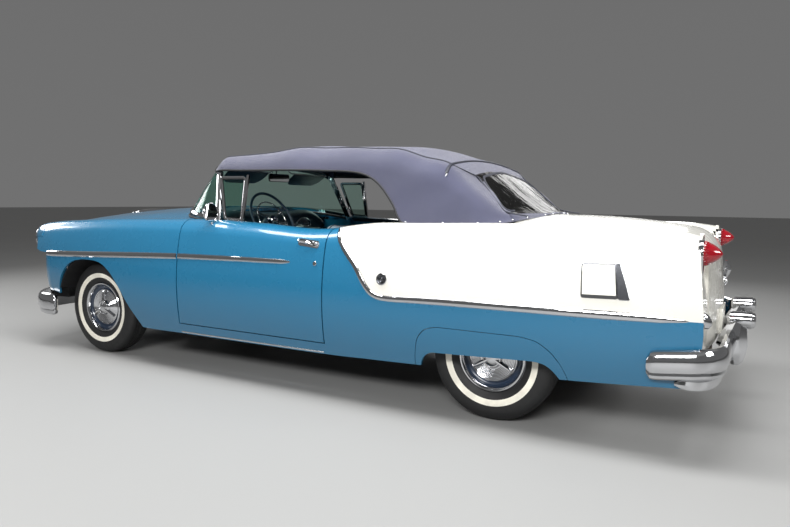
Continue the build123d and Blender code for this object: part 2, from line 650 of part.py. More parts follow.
def glass_wire(level, offset, thickness, trim):
    """A closed curved band across the windshield at a level from 0 at its base to 1 at its head."""
    foot_z, slope = [a + (b - a) * level for a, b in zip(GLASS_BASE_PLANE, GLASS_HEAD_PLANE)]
    route = [(a[0] + (b[0] - a[0]) * level, a[1] + (b[1] - a[1]) * level) for a, b in zip(GLASS_BASE, GLASS_HEAD)]
    foot_x = route[0][0]
    length = hypot(route[1][0] - route[0][0], route[1][1] - route[0][1])
    share = trim / length
    route[0] = tuple(a + (b - a) * share for a, b in zip(route[0], route[1]))

    def side(shift):
        moved = [(x + nx * shift, y + ny * shift) for (x, y), (nx, ny) in zip(route, NORMALS)]
        whole = moved + [(x, -y) for x, y in reversed(moved[:-1])]
        placed = [Vector(x, y, foot_z + (x - foot_x) * slope) for x, y in whole]
        front = Edge.make_three_point_arc(placed[2], placed[3], placed[4])
        right = Edge.make_tangent_arc(placed[4], front % 1, placed[5])
        right_end = Edge.make_tangent_arc(placed[5], right % 1, placed[6])
        left = Edge.make_tangent_arc(placed[2], (front % 0) * -1, placed[1])
        left_end = Edge.make_tangent_arc(placed[1], left % 1, placed[0])
        return [left_end, left, front, right, right_end], placed[0], placed[6]

    outer, outer_left, outer_right = side(offset)
    inner, inner_left, inner_right = side(offset - thickness)
    return Wire(outer + inner + [Edge.make_line(outer_left, inner_left), Edge.make_line(outer_right, inner_right)])


def make_windshield_frame():
    shell = Solid.make_loft([glass_wire(-0.08, 12, 24, 0), glass_wire(1.0, 12, 24, 0)])
    opening = Solid.make_loft([glass_wire(0.10, 40, 80, 46), glass_wire(0.90, 40, 80, 12)])
    below = cowl_skin(150).moved(Location((0, 0, SEAT_GAP)))
    foot = block((DOGLEG_X + 28, 640), (766, DOGLEG_Y), (1000 + SEAT_GAP, 1034))
    below = below + both(block((500, 900), (700, 900), (900, 1000 + SEAT_GAP))) + side_keep_out(FENDER_STATIONS)
    return biggest(shell - opening - below + both(foot))


def make_windshield_glass():
    return Solid.make_loft([glass_wire(0.10, 3, 6, 46 + SEAT_GAP), glass_wire(0.90, 3, 6, 12 + SEAT_GAP)])


# Raised top
def top_route(x, base, side, edge, centre, inset):
    """Half hoop of the raised top at a station, moved inwards by an inset, with its two ends."""
    left = [Vector(x, base[0] - inset, base[1]), Vector(x, side[0] - inset, side[1] - inset * 0.3),
            Vector(x, edge[0] - inset * 0.4, edge[1] - inset)]
    middle = Vector(x, 0, centre - inset)
    right = [Vector(x, -p.Y, p.Z) for p in reversed(left)]
    bulge = Vector(0, 1, 1).normalized() * ((left[1] - left[2]).length * 0.16)
    corner_left = (left[1] + left[2]) * 0.5 + bulge
    corner_right = Vector(x, -corner_left.Y, corner_left.Z)
    edges = [
        Edge.make_line(left[0], left[1]), Edge.make_three_point_arc(left[1], corner_left, left[2]),
        Edge.make_three_point_arc(left[2], middle, right[0]),
        Edge.make_three_point_arc(right[0], corner_right, right[1]), Edge.make_line(right[1], right[2]),
    ]
    return edges, left[0], right[2]


def top_shell(inset, thickness):
    """The raised top as a hollow shell, this far inside its outer face."""
    wires = []
    for row in TOP_STATIONS:
        outer, outer_left, outer_right = top_route(*row, inset)
        inner, inner_left, inner_right = top_route(*row, inset + thickness)
        ends = [Edge.make_line(outer_left, inner_left), Edge.make_line(outer_right, inner_right)]
        wires.append(Wire(outer + inner + ends))
    return Solid.make_loft(wires, ruled=True)


def side_keep_out(stations):
    """Both filled sides of the body, raised by the seating gap, for trimming what rests on them."""
    filled = side_block(stations, upright_corners).moved(Location((0, 0, SEAT_GAP)))
    return filled + mirrored(filled)


def both_openings():
    return prism(SIDE_OPENING, "Y", -1100, 1100)


def window_prism(gap=0.0):
    grow = [(y + (gap if y > 0 else -gap if y < 0 else 0), z + (gap if z > 1200 else -gap)) for y, z in WINDOW_OUTLINE]
    return prism(grow, "X", -1500, -1000)


def make_top():
    return biggest(top_shell(0, TOP_THICKNESS) - both_openings() - window_prism() - side_keep_out(QUARTER_STATIONS))


def make_rear_window():
    return biggest(top_shell(2, VINYL_THICKNESS) & window_prism(-SEAT_GAP))


def make_top_frame():
    """The bows across the car and the rails along the side windows, under the fabric."""
    shell = top_shell(TOP_THICKNESS + SEAT_GAP, BOW_THICKNESS)
    bows = None
    for x in (636, 230, -230, -660, -940):
        slab = block((x - 18, x + 18), (-800, 800), (1200, 1600))
        bows = slab if bows is None else bows + slab
    top_edge = [(x, z + RAIL_BAND) for x, z in SIDE_OPENING[2:-2]]
    rail_zone = SIDE_OPENING[2:-2] + [(-850, 1062), (-850, 1090)] + top_edge[::-1]
    rails = prism(rail_zone, "Y", -900, 900) - block((654, 900), (-900, 900), (1000, 1500))
    frame = (shell & (bows + rails)) - both_openings() - side_keep_out(QUARTER_STATIONS)
    return biggest(frame)


# Cabin. Each row of the dashboard: y, height where it meets the cowl, height of the hood over its face
DASH_STATIONS = [
    (-690, 1024, 1008), (-560, 1048, 1066), (-440, 1064, 1092), (-240, 1084, 1084), (0, 1090, 1080),
    (240, 1084, 1084), (440, 1064, 1092), (560, 1048, 1066), (690, 1024, 1008),
]


def make_dashboard():
    """The instrument panel seated under the cowl, with a hood over each half of its face, and the column."""
    wires = []
    for y, under, top in DASH_STATIONS:
        face = [(1040, 940), (1050, under), (797, under), (794, top), (772, top - 8), (750, top - 58), (770, 900),
                (800, 850)]
        wires.append(Wire.make_polygon([Vector(x, y, z) for x, z in face], close=True))
    panel = Solid.make_loft(wires, ruled=True) - lowered(cowl_skin(SKIN))
    return biggest(biggest(panel) + make_column())


def column_point(distance):
    """A point on the steering column's axis, this far forward of the wheel's centre."""
    angle = radians(COLUMN_ANGLE)
    x, y, z = STEERING_CENTRE
    return (x + distance * cos(angle), y, z - distance * sin(angle))


def make_column():
    return rod(column_point(COLUMN_TOP), column_point(COLUMN_TOP + COLUMN_LENGTH), 24)


def make_steering_wheel():
    axis = Vector(cos(radians(COLUMN_ANGLE)), 0, -sin(radians(COLUMN_ANGLE)))
    plane = Plane(origin=STEERING_CENTRE, x_dir=(0, 1, 0), z_dir=axis)
    rim = Solid.make_torus(STEERING_RADIUS, 10, plane)
    hub = rod(column_point(-10), column_point(COLUMN_TOP - SEAT_GAP), 30)
    wheel = rim + hub
    for turn in (90, 210, 330):
        direction = plane.x_dir * cos(radians(turn)) + plane.y_dir * sin(radians(turn))
        end = Vector(*column_point(4)) + direction * STEERING_RADIUS
        wheel = wheel + rod(column_point(8), tuple(end), 7)
    return biggest(wheel)


def seat(profile, half_width):
    """A bench seat part from its side outline in (x, z)."""
    return prism(profile, "Y", -half_width, half_width)


def make_front_seat():
    floor = FLOOR_Z + FLOOR_THICKNESS + SEAT_GAP
    outline = [(430, floor), (460, 560), (450, 610), (400, 640), (-50, 600), (-100, 860), (-130, 1010), (-165, 1034),
               (-210, 1010), (-255, 620), (-250, floor)]
    return biggest(seat(outline, 640) - tunnel_space())


def make_rear_seat():
    floor = FLOOR_Z + FLOOR_THICKNESS + SEAT_GAP
    outline = [(-560, floor), (-540, 560), (-560, 610), (-960, 590), (-1060, 1010), (-1130, 1016), (-1150, 600),
               (-764, 500), (-764, floor)]
    return biggest(seat(outline, REAR_HOUSE_Y - 5) - tunnel_space())


# Floor and frame
def make_floor_pan():
    """The floor from the toe board to the trunk, with the tunnel and its step over the rear axle."""
    thick = FLOOR_THICKNESS
    heel, step = REAR_SEAT_STEP
    lower = [(1104, 620), (1000, FLOOR_Z), (heel, FLOOR_Z), (heel, SEAT_PAN_Z), (step, SEAT_PAN_Z),
             (step, AXLE_FLOOR_Z), (-1620, AXLE_FLOOR_Z), (-1640, TRUNK_FLOOR_Z), (-2366, TRUNK_FLOOR_Z)]
    upper = [(-2366, TRUNK_FLOOR_Z + thick), (-1652, TRUNK_FLOOR_Z + thick), (-1632, AXLE_FLOOR_Z + thick),
             (step + thick, AXLE_FLOOR_Z + thick), (step + thick, SEAT_PAN_Z + thick),
             (heel + thick, SEAT_PAN_Z + thick), (heel + thick, FLOOR_Z + thick), (992, FLOOR_Z + thick),
             (1092, 624)]
    pan = prism(lower + upper, "Y", -FLOOR_HALF, FLOOR_HALF)
    for low, high in ((REAR_HOUSE_Y - 8, 900), (-900, 8 - REAR_HOUSE_Y)):
        pan = pan - block((-2400, -960), (low, high), (300, 700))
    half, top = TUNNEL
    outer = block((heel, 1050), (-half - TUNNEL_WALL, half + TUNNEL_WALL), (FLOOR_Z, top + TUNNEL_WALL))
    return biggest((pan + outer) - block((-900, 1200), (-half, half), (300, top)))


def tunnel_space():
    """What the seats leave free for the tunnel."""
    half = TUNNEL[0] + TUNNEL_WALL + SEAT_GAP
    return block((-900, 700), (-half, half), (300, TUNNEL[1] + TUNNEL_WALL + SEAT_GAP))


def rail_between(plan, side):
    """A frame rail from its centre line seen from above and from the side, both as lists along X."""
    half_width, half_height = RAIL_WIDTH / 2, RAIL_HEIGHT / 2
    plan_band = [(x, y + half_width) for x, y in plan] + [(x, y - half_width) for x, y in reversed(plan)]
    side_band = [(x, z + half_height) for x, z in side] + [(x, z - half_height) for x, z in reversed(side)]
    return prism(plan_band, "Z", 0, 900) & prism(side_band, "Y", 0, 900)


def make_rails():
    """The left frame rail, with its step over each axle."""
    low = FLOOR_Z - RAIL_HEIGHT / 2
    kick = SEAT_PAN_Z - RAIL_HEIGHT / 2
    plan = [(2400, 395), (1380, 395), (1050, 520), (-860, 560), (-960, 525), (-1800, 525), (-2350, 500)]
    side = [(2400, 345), (2050, 345), (1960, 380), (1500, 380), (1350, low), (-860, low), (-1060, kick),
            (-1700, kick), (-1900, 400), (-2350, 400)]
    return rail_between(plan, side)


def make_chassis_frame():
    """The two rails joined by cross members and a bored cross in the middle."""
    frame = both(make_rails())
    for x, z, half, width in ((2330, 345, 400, 60), (900, 290, 540, 70), (-640, 290, 540, 70), (-2300, 400, 490, 60)):
        frame = frame + block((x - width / 2, x + width / 2), (-half, half), (z - 40, z + 40))
    frame = frame + block((FRONT_AXLE_X - 135, FRONT_AXLE_X + 135), (-430, 430), (250, 300))
    frame = frame + block((FRONT_AXLE_X - 65, FRONT_AXLE_X + 65), (-400, 400), (290, ENGINE_MOUNT_Z))
    for x, y, far_x, far_y in ((860, 500, -560, -500), (860, -500, -560, 500)):
        frame = frame + prism([(x, y - 40), (x + 40, y), (far_x, far_y + 40), (far_x - 40, far_y)], "Z", 250, 330)
    frame = frame + block((90, 210), (-110, 110), (250, FLOOR_Z - 2))
    for x, y in JACK_PADS:
        frame = frame + both(block((x - 40, x + 40), (y - 25, y + 25), (JACK_PAD_Z, JACK_PAD_Z + 10)))
    return biggest(frame - rod((-900, 0, SHAFT_Z), (1300, 0, SHAFT_Z), 52))


def make_drive_shaft():
    return rod((800 - SEAT_GAP, 0, SHAFT_Z), (REAR_AXLE_X + 130 + SEAT_GAP, 0, SHAFT_Z), 38)


def make_engine():
    """The engine and gearbox as one plain block on its three mounts."""
    body = block((1330, 1960), (-230, 230), (430, 860))
    gearbox = block((800, 1332), (-105, 105), (GEARBOX_MOUNT_Z + 12, 450))
    mounts = both(block((1680, 1774), (120, 190), (ENGINE_MOUNT_Z, 432)))
    rear_mount = block((880, 920), (60, 100), (GEARBOX_MOUNT_Z, GEARBOX_MOUNT_Z + 14))
    return biggest(body + gearbox + mounts + both(rear_mount))


def make_exhaust():
    """The pipe from the engine to the tail, over the rear axle, with its muffler."""
    points = [(1420, -190, 430), (1420, -190, EXHAUST_Z), (1100, EXHAUST_Y, EXHAUST_Z), (-760, EXHAUST_Y, EXHAUST_Z),
              (-1100, EXHAUST_Y, 432), (-1640, EXHAUST_Y, 432), (-1900, EXHAUST_Y, 300), (-2380, EXHAUST_Y, 300)]
    path = FilletPolyline(*points, radius=[70, 90, 150, 150, 150, 150])
    pipe = sweep(Plane(origin=path @ 0, z_dir=path % 0) * Circle(PIPE_RADIUS), path)
    muffler = rod((-520, EXHAUST_Y, EXHAUST_Z), (60, EXHAUST_Y, EXHAUST_Z), 48)
    return biggest(pipe + muffler)


def make_fuel_tank():
    return block((-2250, -1750), (-270, 400), (TRUNK_FLOOR_Z - 190, TRUNK_FLOOR_Z))


def make_wheel_houses():
    """The inner panels over the wheels: an arch over each tyre and, in front, the apron beside the engine."""
    houses = None
    for x, radius, y_in, y_out in ((FRONT_AXLE_X, 400, 455, 905), (REAR_AXLE_X, 395, REAR_HOUSE_Y, 930)):
        axle = (x, y_in, TYRE_RADIUS)
        ring = rod(axle, (x, y_out, TYRE_RADIUS), radius + 8) - rod((x, 0, TYRE_RADIUS), (x, 1200, TYRE_RADIUS), radius)
        arch = ring - block((x - 600, x + 600), (0, 1200), (-200, TYRE_RADIUS + 130))
        cheek = rod(axle, (x, y_in + 8, TYRE_RADIUS), radius + 2) - block((x - 600, x + 600), (0, 1200), (-200, 440))
        house = arch + cheek
        houses = house if houses is None else houses + house
    return houses


# Wheels and axles
def make_tyre(centre):
    half = TYRE_WIDTH / 2
    profile = [
        (-half * 0.62, TYRE_RADIUS), (half * 0.62, TYRE_RADIUS), (half * 0.92, TYRE_RADIUS - 26),
        (half, TYRE_RADIUS - 75), (half * 0.84, RIM_RADIUS + 22), (half * 0.74, RIM_RADIUS),
        (-half * 0.74, RIM_RADIUS), (-half * 0.84, RIM_RADIUS + 22), (-half, TYRE_RADIUS - 75),
        (-half * 0.92, TYRE_RADIUS - 26),
    ]
    return turned(profile, centre)


def make_wheel(centre, side, bore):
    """The rim, its disc with the brake drum behind it and the ridged wheel cover with its three-bar centre."""
    half, radius = RIM_WIDTH / 2, RIM_RADIUS - SEAT_GAP
    outward = [
        (-half, radius), (half - 12, radius), (half, radius - 4), (half + 4, 181), (half + 3, 175), (half - 14, 166),
        (half - 28, 158), (half - 34, 142), (half - 22, 135), (half - 21, 127),
    ]
    outer, inner, rise = COVER_RIDGES
    for ridge in range(COVER_RIDGE_COUNT):
        at = outer + (inner - outer) * ridge / COVER_RIDGE_COUNT
        step = (inner - outer) / COVER_RIDGE_COUNT
        out = half - 26 + 14 * ridge / COVER_RIDGE_COUNT
        outward += [(out, at), (out + rise, at + step * 0.5)]
    outward += [
        (half - 11, 59), (half - 2, 54), (half + 4, 46), (half - 2, 40), (half + 8, 24), (half + 10, 0),
        (half - 40, 0), (half - 40, bore), (-36, bore), (-36, 128), (-half + 6, 132), (-half + 6, 142), (-30, 146),
        (-30, radius - 14), (-half, radius - 10),
    ]
    wheel = turned([(side * a, r) for a, r in outward], centre)
    x, y, z = centre
    for turn in range(3):
        reach = tuple(sorted((y + side * (half - 24), y + side * (half + 6))))
        bar = block((x - 7, x + 7), reach, (z + 20, z + 116)).rotate(Axis(centre, (0, 1, 0)), 60 + 120 * turn)
        wheel = wheel + bar
    return biggest(wheel)


def make_knuckle(side):
    """The front upright with its kingpin and the spindle that carries the wheel."""
    y = side * KINGPIN_Y
    pin = rod((FRONT_AXLE_X, y, 246), (FRONT_AXLE_X, y, 454), KINGPIN_RADIUS)
    upright = block((FRONT_AXLE_X - 28, FRONT_AXLE_X + 28), tuple(sorted((y - 22, y + 22))), (288, 412))
    spindle = rod((FRONT_AXLE_X, y, TYRE_RADIUS), (FRONT_AXLE_X, side * (FRONT_TRACK / 2 + 30), TYRE_RADIUS),
                  SPINDLE_RADIUS)
    arm = block((FRONT_AXLE_X - 150, FRONT_AXLE_X), tuple(sorted((side * 600, side * 630))), (300, 320))
    return biggest(pin + upright + spindle + arm)


def make_front_suspension():
    """Upper and lower wishbones on both sides, with an eye on each kingpin and a coil spring's post."""
    whole = None
    for z, inner_y in ((272, 440), (428, 440)):
        eye_y = KINGPIN_Y
        outline = [(FRONT_AXLE_X - 24, eye_y), (FRONT_AXLE_X + 24, eye_y), (FRONT_AXLE_X + 130, inner_y),
                   (FRONT_AXLE_X + 130, 430 + SEAT_GAP), (FRONT_AXLE_X + 80, 430 + SEAT_GAP),
                   (FRONT_AXLE_X, 560), (FRONT_AXLE_X - 80, 430 + SEAT_GAP),
                   (FRONT_AXLE_X - 130, 430 + SEAT_GAP), (FRONT_AXLE_X - 130, inner_y)]
        arm = prism(outline, "Z", z - 10, z + 10)
        arm = arm + rod((FRONT_AXLE_X, eye_y, z - 12), (FRONT_AXLE_X, eye_y, z + 12), 24)
        arm = arm - rod((FRONT_AXLE_X, eye_y, 0), (FRONT_AXLE_X, eye_y, 900), KINGPIN_RADIUS + RUNNING_GAP)
        arm = pair(arm)
        whole = arm if whole is None else Compound(whole.solids() + arm.solids())
    return whole


def make_chassis_frame_space():
    """The rails' inner faces, for trimming the spring pins that meet them."""
    return make_rails().moved(Location((0, -SEAT_GAP, 0)))


def make_rear_axle():
    """The axle housing, its two leaf springs and the spindles that carry the rear wheels."""
    reach = REAR_TRACK / 2
    axle = rod((REAR_AXLE_X, -600, TYRE_RADIUS), (REAR_AXLE_X, 600, TYRE_RADIUS), AXLE_RADIUS)
    axle = axle + rod((REAR_AXLE_X, -reach - 30, TYRE_RADIUS), (REAR_AXLE_X, reach + 30, TYRE_RADIUS), SPINDLE_RADIUS)
    axle = axle + Pos(REAR_AXLE_X, 0, TYRE_RADIUS) * Solid.make_sphere(130, angle1=-90, angle2=90, angle3=360)
    spring = prism([(-760, 290), (-1000, 318), (REAR_AXLE_X, 330), (-1750, 346), (-2040, 380),
                    (-2040, 368), (-1750, 326), (REAR_AXLE_X, 308), (-1000, 304), (-760, 278)], "Y", 415, 470)
    spring = spring + rod((-768, 415, 284), (-768, 520, 284), 10) + rod((-2032, 415, 373), (-2032, 479, 373), 10)
    return biggest(axle + both(spring - make_chassis_frame_space()))


def make_vent_window(door):
    """The small framed window at the front of the door glass."""
    outline = [(367, 960), (382, 1325), (622, 1325), (534, 1020), (505, 960)]
    inner = [(385, 1040), (397, 1309), (600, 1309), (518, 1044)]
    frame = prism(outline, "Y", 700, 850) - prism(inner, "Y", 700, 850)
    slope = (730 - 798) / (1325 - 1010)

    def leaning(offset, thickness):
        low, high = 990, 1340
        y = lambda z: 798 + (z - 1010) * slope + offset
        corners = [(y(low), low), (y(high), high), (y(high) - thickness, high), (y(low) - thickness, low)]
        return prism(corners, "X", 300, 700)

    frame = (frame & leaning(8, 16)) - door.moved(Location((0, 0, SEAT_GAP)))
    glass = prism(offset_outline(inner, SEAT_GAP), "Y", 700, 850) & leaning(2, 4)
    return Compound([biggest(frame), biggest(glass)])


def offset_outline(points, inset):
    """The points of an outline moved towards their middle by an inset."""
    middle_x = sum(x for x, z in points) / len(points)
    middle_z = sum(z for x, z in points) / len(points)
    return [(x - inset * (1 if x > middle_x else -1), z - inset * (1 if z > middle_z else -1)) for x, z in points]


def make_door_mirror(door):
    """The round mirror on its stem, which stands on the left door."""
    head = turned([(0, 0), (0, 62), (10, 64), (34, 40), (44, 0)], (536, 905, 1084), (1, 0, 0))
    stem = rod((548, 892, 970), (548, 902, 1060), 8)
    return biggest(head + stem - door.moved(Location((0, 0, SEAT_GAP))))


def main():
    os.makedirs("parts", exist_ok=True)
    door = make_door()
    for name, left in (("front_fender", make_front_fender()), ("quarter_panel", make_quarter()), ("door", door),
                       ("vent_window", make_vent_window(door))):
        save(name + "_left", left)
        save(name + "_right", mirrored(left))
    save("door_mirror", make_door_mirror(door))
    save("fender_skirts", pair(make_fender_skirt()))
    save("sills", pair(make_sill()))
    save("wheel_houses", pair(make_wheel_houses()))
    for name, make in (
            ("hood", make_hood), ("cowl", make_cowl), ("deck_panel", make_deck_panel),
            ("trunk_lid", make_trunk_lid), ("tail_panel", make_tail_panel), ("nose_panel", make_nose_panel),
            ("grille", make_grille), ("front_bumper", make_front_bumper), ("rear_bumper", make_rear_bumper),
            ("headlamps", make_headlamps), ("tail_lamps", make_tail_lamps),
            ("windshield_frame", make_windshield_frame), ("windshield_glass", make_windshield_glass),
            ("fabric_top", make_top), ("top_frame", make_top_frame), ("rear_window", make_rear_window),
            ("dashboard", make_dashboard), ("steering_wheel", make_steering_wheel),
            ("front_seat", make_front_seat), ("rear_seat", make_rear_seat), ("floor_pan", make_floor_pan),
            ("chassis_frame", make_chassis_frame), ("drive_shaft", make_drive_shaft), ("engine", make_engine),
            ("exhaust", make_exhaust), ("fuel_tank", make_fuel_tank),
            ("front_suspension", make_front_suspension), ("rear_axle", make_rear_axle)):
        save(name, make())
    for side, side_name in ((1, "left"), (-1, "right")):
        for end, x, track in (("front", FRONT_AXLE_X, FRONT_TRACK), ("rear", REAR_AXLE_X, REAR_TRACK)):
            centre = (x, side * track / 2, TYRE_RADIUS)
            save(f"tyre_{end}_{side_name}", make_tyre(centre))
            save(f"wheel_{end}_{side_name}", make_wheel(centre, side, SPINDLE_RADIUS + RUNNING_GAP))
        save(f"knuckle_{side_name}", make_knuckle(side))


main()
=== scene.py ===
"""Looks of the two-door convertible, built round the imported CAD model.

Sizes are in millimetres in the tables and functions below, in the CAD model's own frame: +X to the front
bumper, +Y to the car's left and +Z up. make_object turns them into metres.
"""
import json
from functools import cache
from math import atan2, cos, pi, radians, sin, sqrt

import bmesh
import bpy
import numpy as np
from mathutils import Matrix, Vector
from mathutils.bvhtree import BVHTree

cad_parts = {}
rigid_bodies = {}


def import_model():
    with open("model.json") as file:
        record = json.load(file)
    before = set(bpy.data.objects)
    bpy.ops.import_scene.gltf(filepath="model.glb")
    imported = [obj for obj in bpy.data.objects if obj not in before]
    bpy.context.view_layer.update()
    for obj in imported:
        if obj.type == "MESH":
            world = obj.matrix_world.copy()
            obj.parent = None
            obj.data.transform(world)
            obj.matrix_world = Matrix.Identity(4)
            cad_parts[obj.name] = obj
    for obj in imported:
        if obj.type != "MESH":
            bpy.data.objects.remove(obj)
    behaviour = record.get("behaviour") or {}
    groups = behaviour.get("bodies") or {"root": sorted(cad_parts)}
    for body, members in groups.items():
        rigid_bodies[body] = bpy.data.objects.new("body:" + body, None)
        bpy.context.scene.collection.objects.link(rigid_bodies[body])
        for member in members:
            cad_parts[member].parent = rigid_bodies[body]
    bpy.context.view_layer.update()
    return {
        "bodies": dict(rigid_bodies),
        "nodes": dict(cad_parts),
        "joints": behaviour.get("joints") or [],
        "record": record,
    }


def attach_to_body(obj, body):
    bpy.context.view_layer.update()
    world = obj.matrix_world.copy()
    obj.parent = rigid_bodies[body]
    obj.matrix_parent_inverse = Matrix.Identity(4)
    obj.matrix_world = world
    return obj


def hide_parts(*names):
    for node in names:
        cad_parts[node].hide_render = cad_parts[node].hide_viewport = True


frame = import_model()

MM = 0.001
LEFT, RIGHT = 1, -1
SIDE_NAMES = {LEFT: "left", RIGHT: "right"}

# Sizes that the CAD model also has
FRONT_AXLE_X = 1727.0
REAR_AXLE_X = -1372.0
FRONT_TRACK = 1499.0
REAR_TRACK = 1473.0
TYRE_RADIUS = 345.0
TYRE_WIDTH = 190.0
RIM_RADIUS = 190.0
RIM_WIDTH = 150.0
PANEL_GAP = 8.0
SKIN = 20.0
WALL = 16.0
FENDER_SEAM_X = 798.0
DOOR_REAR_SEAM_X = -386.0
DOOR_BOTTOM_Z = 338.0
SILL_TOP_Z = 332.0
COWL_SEAM_X = 1135.0
LID_FRONT_X = -1600.0
LID_HALF = 640.0
CANOPY_SHELF_X = -1400.0
HINGE = (840.0, 924.0)
DOOR_INNER_Y = 842.0
STEERING_RADIUS = 208.0
STEERING_CENTRE = (445.0, 390.0, 1028.0)
COLUMN_ANGLE = 27.0

# Outer side of the body. Each row: x, then (y, z) of the sill, widest, shoulder, crest and inner edge
SIDE_STATIONS = [
    (2400, (866, 470), (893, 650), (868, 888), (790, 962), (656, 950)),
    (2250, (888, 456), (913, 648), (886, 895), (800, 977), (656, 966)),
    (2000, (905, 400), (931, 643), (902, 908), (806, 994), (656, 986)),
    (1700, (915, 340), (945, 638), (914, 926), (812, 1012), (662, 1005)),
    (1200, (925, 268), (960, 630), (922, 942), (828, 1026), (692, 1022)),
    (798, (930, 266), (968, 625), (926, 945), (848, 1029), (735, 1030)),
    (200, (932, 266), (975, 620), (935, 934), (862, 1013), (752, 1016)),
    (-386, (935, 268), (980, 616), (941, 914), (884, 992), (772, 999)),
    (-500, (936, 270), (981, 615), (939, 926), (880, 1010), (768, 1012)),
    (-650, (938, 275), (983, 615), (934, 940), (864, 1030), (752, 1034)),
    (-900, (940, 282), (985, 616), (930, 948), (852, 1036), (720, 1042)),
    (-1400, (945, 300), (987, 620), (930, 950), (846, 1040), (640, 1052)),
    (-1900, (940, 320), (980, 636), (926, 954), (840, 1040), (640, 1046)),
    (-2200, (926, 336), (962, 648), (914, 950), (832, 1036), (640, 1036)),
    (-2400, (906, 345), (938, 652), (900, 932), (828, 1012), (640, 1008)),
]

# Wheel openings and the slopes of nose and tail, seen from the side as (x, z)
FRONT_ARCH = [
    (2126, 200), (2126, 454), (2085, 560), (2010, 645), (1915, 698), (1790, 716), (1650, 714),
    (1560, 692), (1470, 630), (1395, 545), (1300, 410), (1195, 290), (1130, 200),
]
SKIRT_SEAM = [
    (-978, 200), (-982, 330), (-1000, 440), (-1045, 495), (-1110, 514), (-1580, 514), (-1665, 498),
    (-1735, 450), (-1785, 385), (-1822, 300), (-1830, 200),
]
SKIRT_OPENING = [
    (-1010, 200), (-1016, 300), (-1040, 345), (-1080, 368), (-1640, 392), (-1700, 384), (-1745, 350),
    (-1790, 290), (-1800, 200),
]
TAIL_FACE = [(-2362, 1120), (-2366, 950), (-2394, 700), (-2398, 600), (-2394, 460), (-2330, 330),
             (-2285, 200)]
NOSE_FACE = [(2415, 1120), (2415, 766), (2360, 746), (2200, 740), (2200, 440)]

# Crowns of the panels that span the car. Each row: x, centre height, drop of the whole edge
HOOD_CROWN = [
    (1139, 1110, 0), (1200, 1107, 0), (1500, 1095, 0), (1700, 1082, 0), (2000, 1061, 0), (2250, 1034, 0),
    (2400, 996, 12), (2470, 955, 52), (2512, 906, 98), (2524, 872, 128),
]
COWL_CROWN = [(798, 1104, 0), (1000, 1108, 0), (1131, 1110, 0)]
SHELF_CROWN = [(-1400, 1106, 0), (-1596, 1101, 0)]

# Trunk lid, cut lengthwise. Each row: y, then (x, z) of the front, middle, bend, tail and lower edge
LID_SECTIONS = [
    (632, (-1604, 1050), (-1950, 1044), (-2262, 1018), (-2388, 890), (-2402, 640)),
    (350, (-1604, 1088), (-1950, 1074), (-2262, 1038), (-2406, 893), (-2428, 640)),
    (0, (-1604, 1101), (-1950, 1087), (-2266, 1050), (-2414, 896), (-2440, 640)),
]

# Raised top. Each row: x, then (y, z) of the base, the lower side and the roof edge, and the centre height
TOP_STATIONS = [
    (782, (738, 1068), (690, 1362), (600, 1400), 1446),
    (740, (742, 1068), (698, 1366), (600, 1446), 1484),
    (640, (746, 1068), (705, 1370), (602, 1464), 1498),
    (500, (750, 1068), (709, 1373), (603, 1474), 1508),
    (293, (753, 1066), (713, 1376), (604, 1485), 1521),
    (37, (756, 1060), (716, 1378), (605, 1507), 1550),
    (-300, (758, 1050), (720, 1370), (605, 1499), 1537),
    (-548, (760, 1046), (722, 1352), (606, 1491), 1536),
    (-688, (761, 1046), (722, 1332), (604, 1480), 1521),
    (-850, (762, 1046), (722, 1296), (602, 1436), 1482),
    (-1042, (760, 1046), (722, 1232), (600, 1374), 1410),
    (-1136, (755, 1047), (716, 1180), (585, 1300), 1346),
    (-1280, (733, 1052), (694, 1106), (574, 1174), 1238),
    (-1352, (672, 1060), (640, 1082), (560, 1120), 1186),
    (-1400, (600, 1070), (575, 1084), (500, 1110), 1152),
    (-1440, (470, 1082), (445, 1092), (380, 1104), 1126),
    (-1488, (240, 1098), (220, 1103), (180, 1106), 1113),
]
SIDE_OPENING = [
    (900, 1340), (700, 1366), (470, 1363), (-25, 1360), (-250, 1353), (-400, 1347), (-500, 1332),
    (-570, 1304),
    (-640, 1250), (-719, 1156), (-800, 1046),
]
WINDOW_OUTLINE = [(428, 1322), (0, 1362), (-428, 1322), (-562, 1126), (562, 1126)]

# Windshield glass seen from above: base and head lines and their planes as (height at the foot, slope)
GLASS_BASE = [(575, 798), (830, 762), (1000, 560), (1075, 0)]
GLASS_HEAD = [(672, 668), (712, 622), (735, 440), (760, 0)]
GLASS_BASE_PLANE = (1028, 0.124)
GLASS_HEAD_PLANE = (1362, 0.795)


# Curves
def curve_weights(t):
    """Weights of a cubic curve's start, start tangent, end and end tangent at t from 0 to 1."""
    return 2 * t ** 3 - 3 * t ** 2 + 1, t ** 3 - 2 * t ** 2 + t, 3 * t ** 2 - 2 * t ** 3, t ** 3 - t ** 2


def smooth_columns(rows, x):
    """The columns of a table at x, on a smooth curve through its rows. A row is x and then numbers."""
    table = np.array(sorted(rows), dtype=float)
    xs, values = table[:, 0], table[:, 1:]
    slopes = np.gradient(values, xs, axis=0)
    i = int(np.clip(np.searchsorted(xs, x) - 1, 0, len(xs) - 2))
    width = xs[i + 1] - xs[i]
    a, b, c, d = curve_weights((x - xs[i]) / width)
    return a * values[i] + b * width * slopes[i] + c * values[i + 1] + d * width * slopes[i + 1]


def flat_row(row):
    """A table row with its (y, z) pairs opened into plain numbers."""
    out = []
    for cell in row:
        out += list(cell) if isinstance(cell, tuple) else [cell]
    return tuple(out)


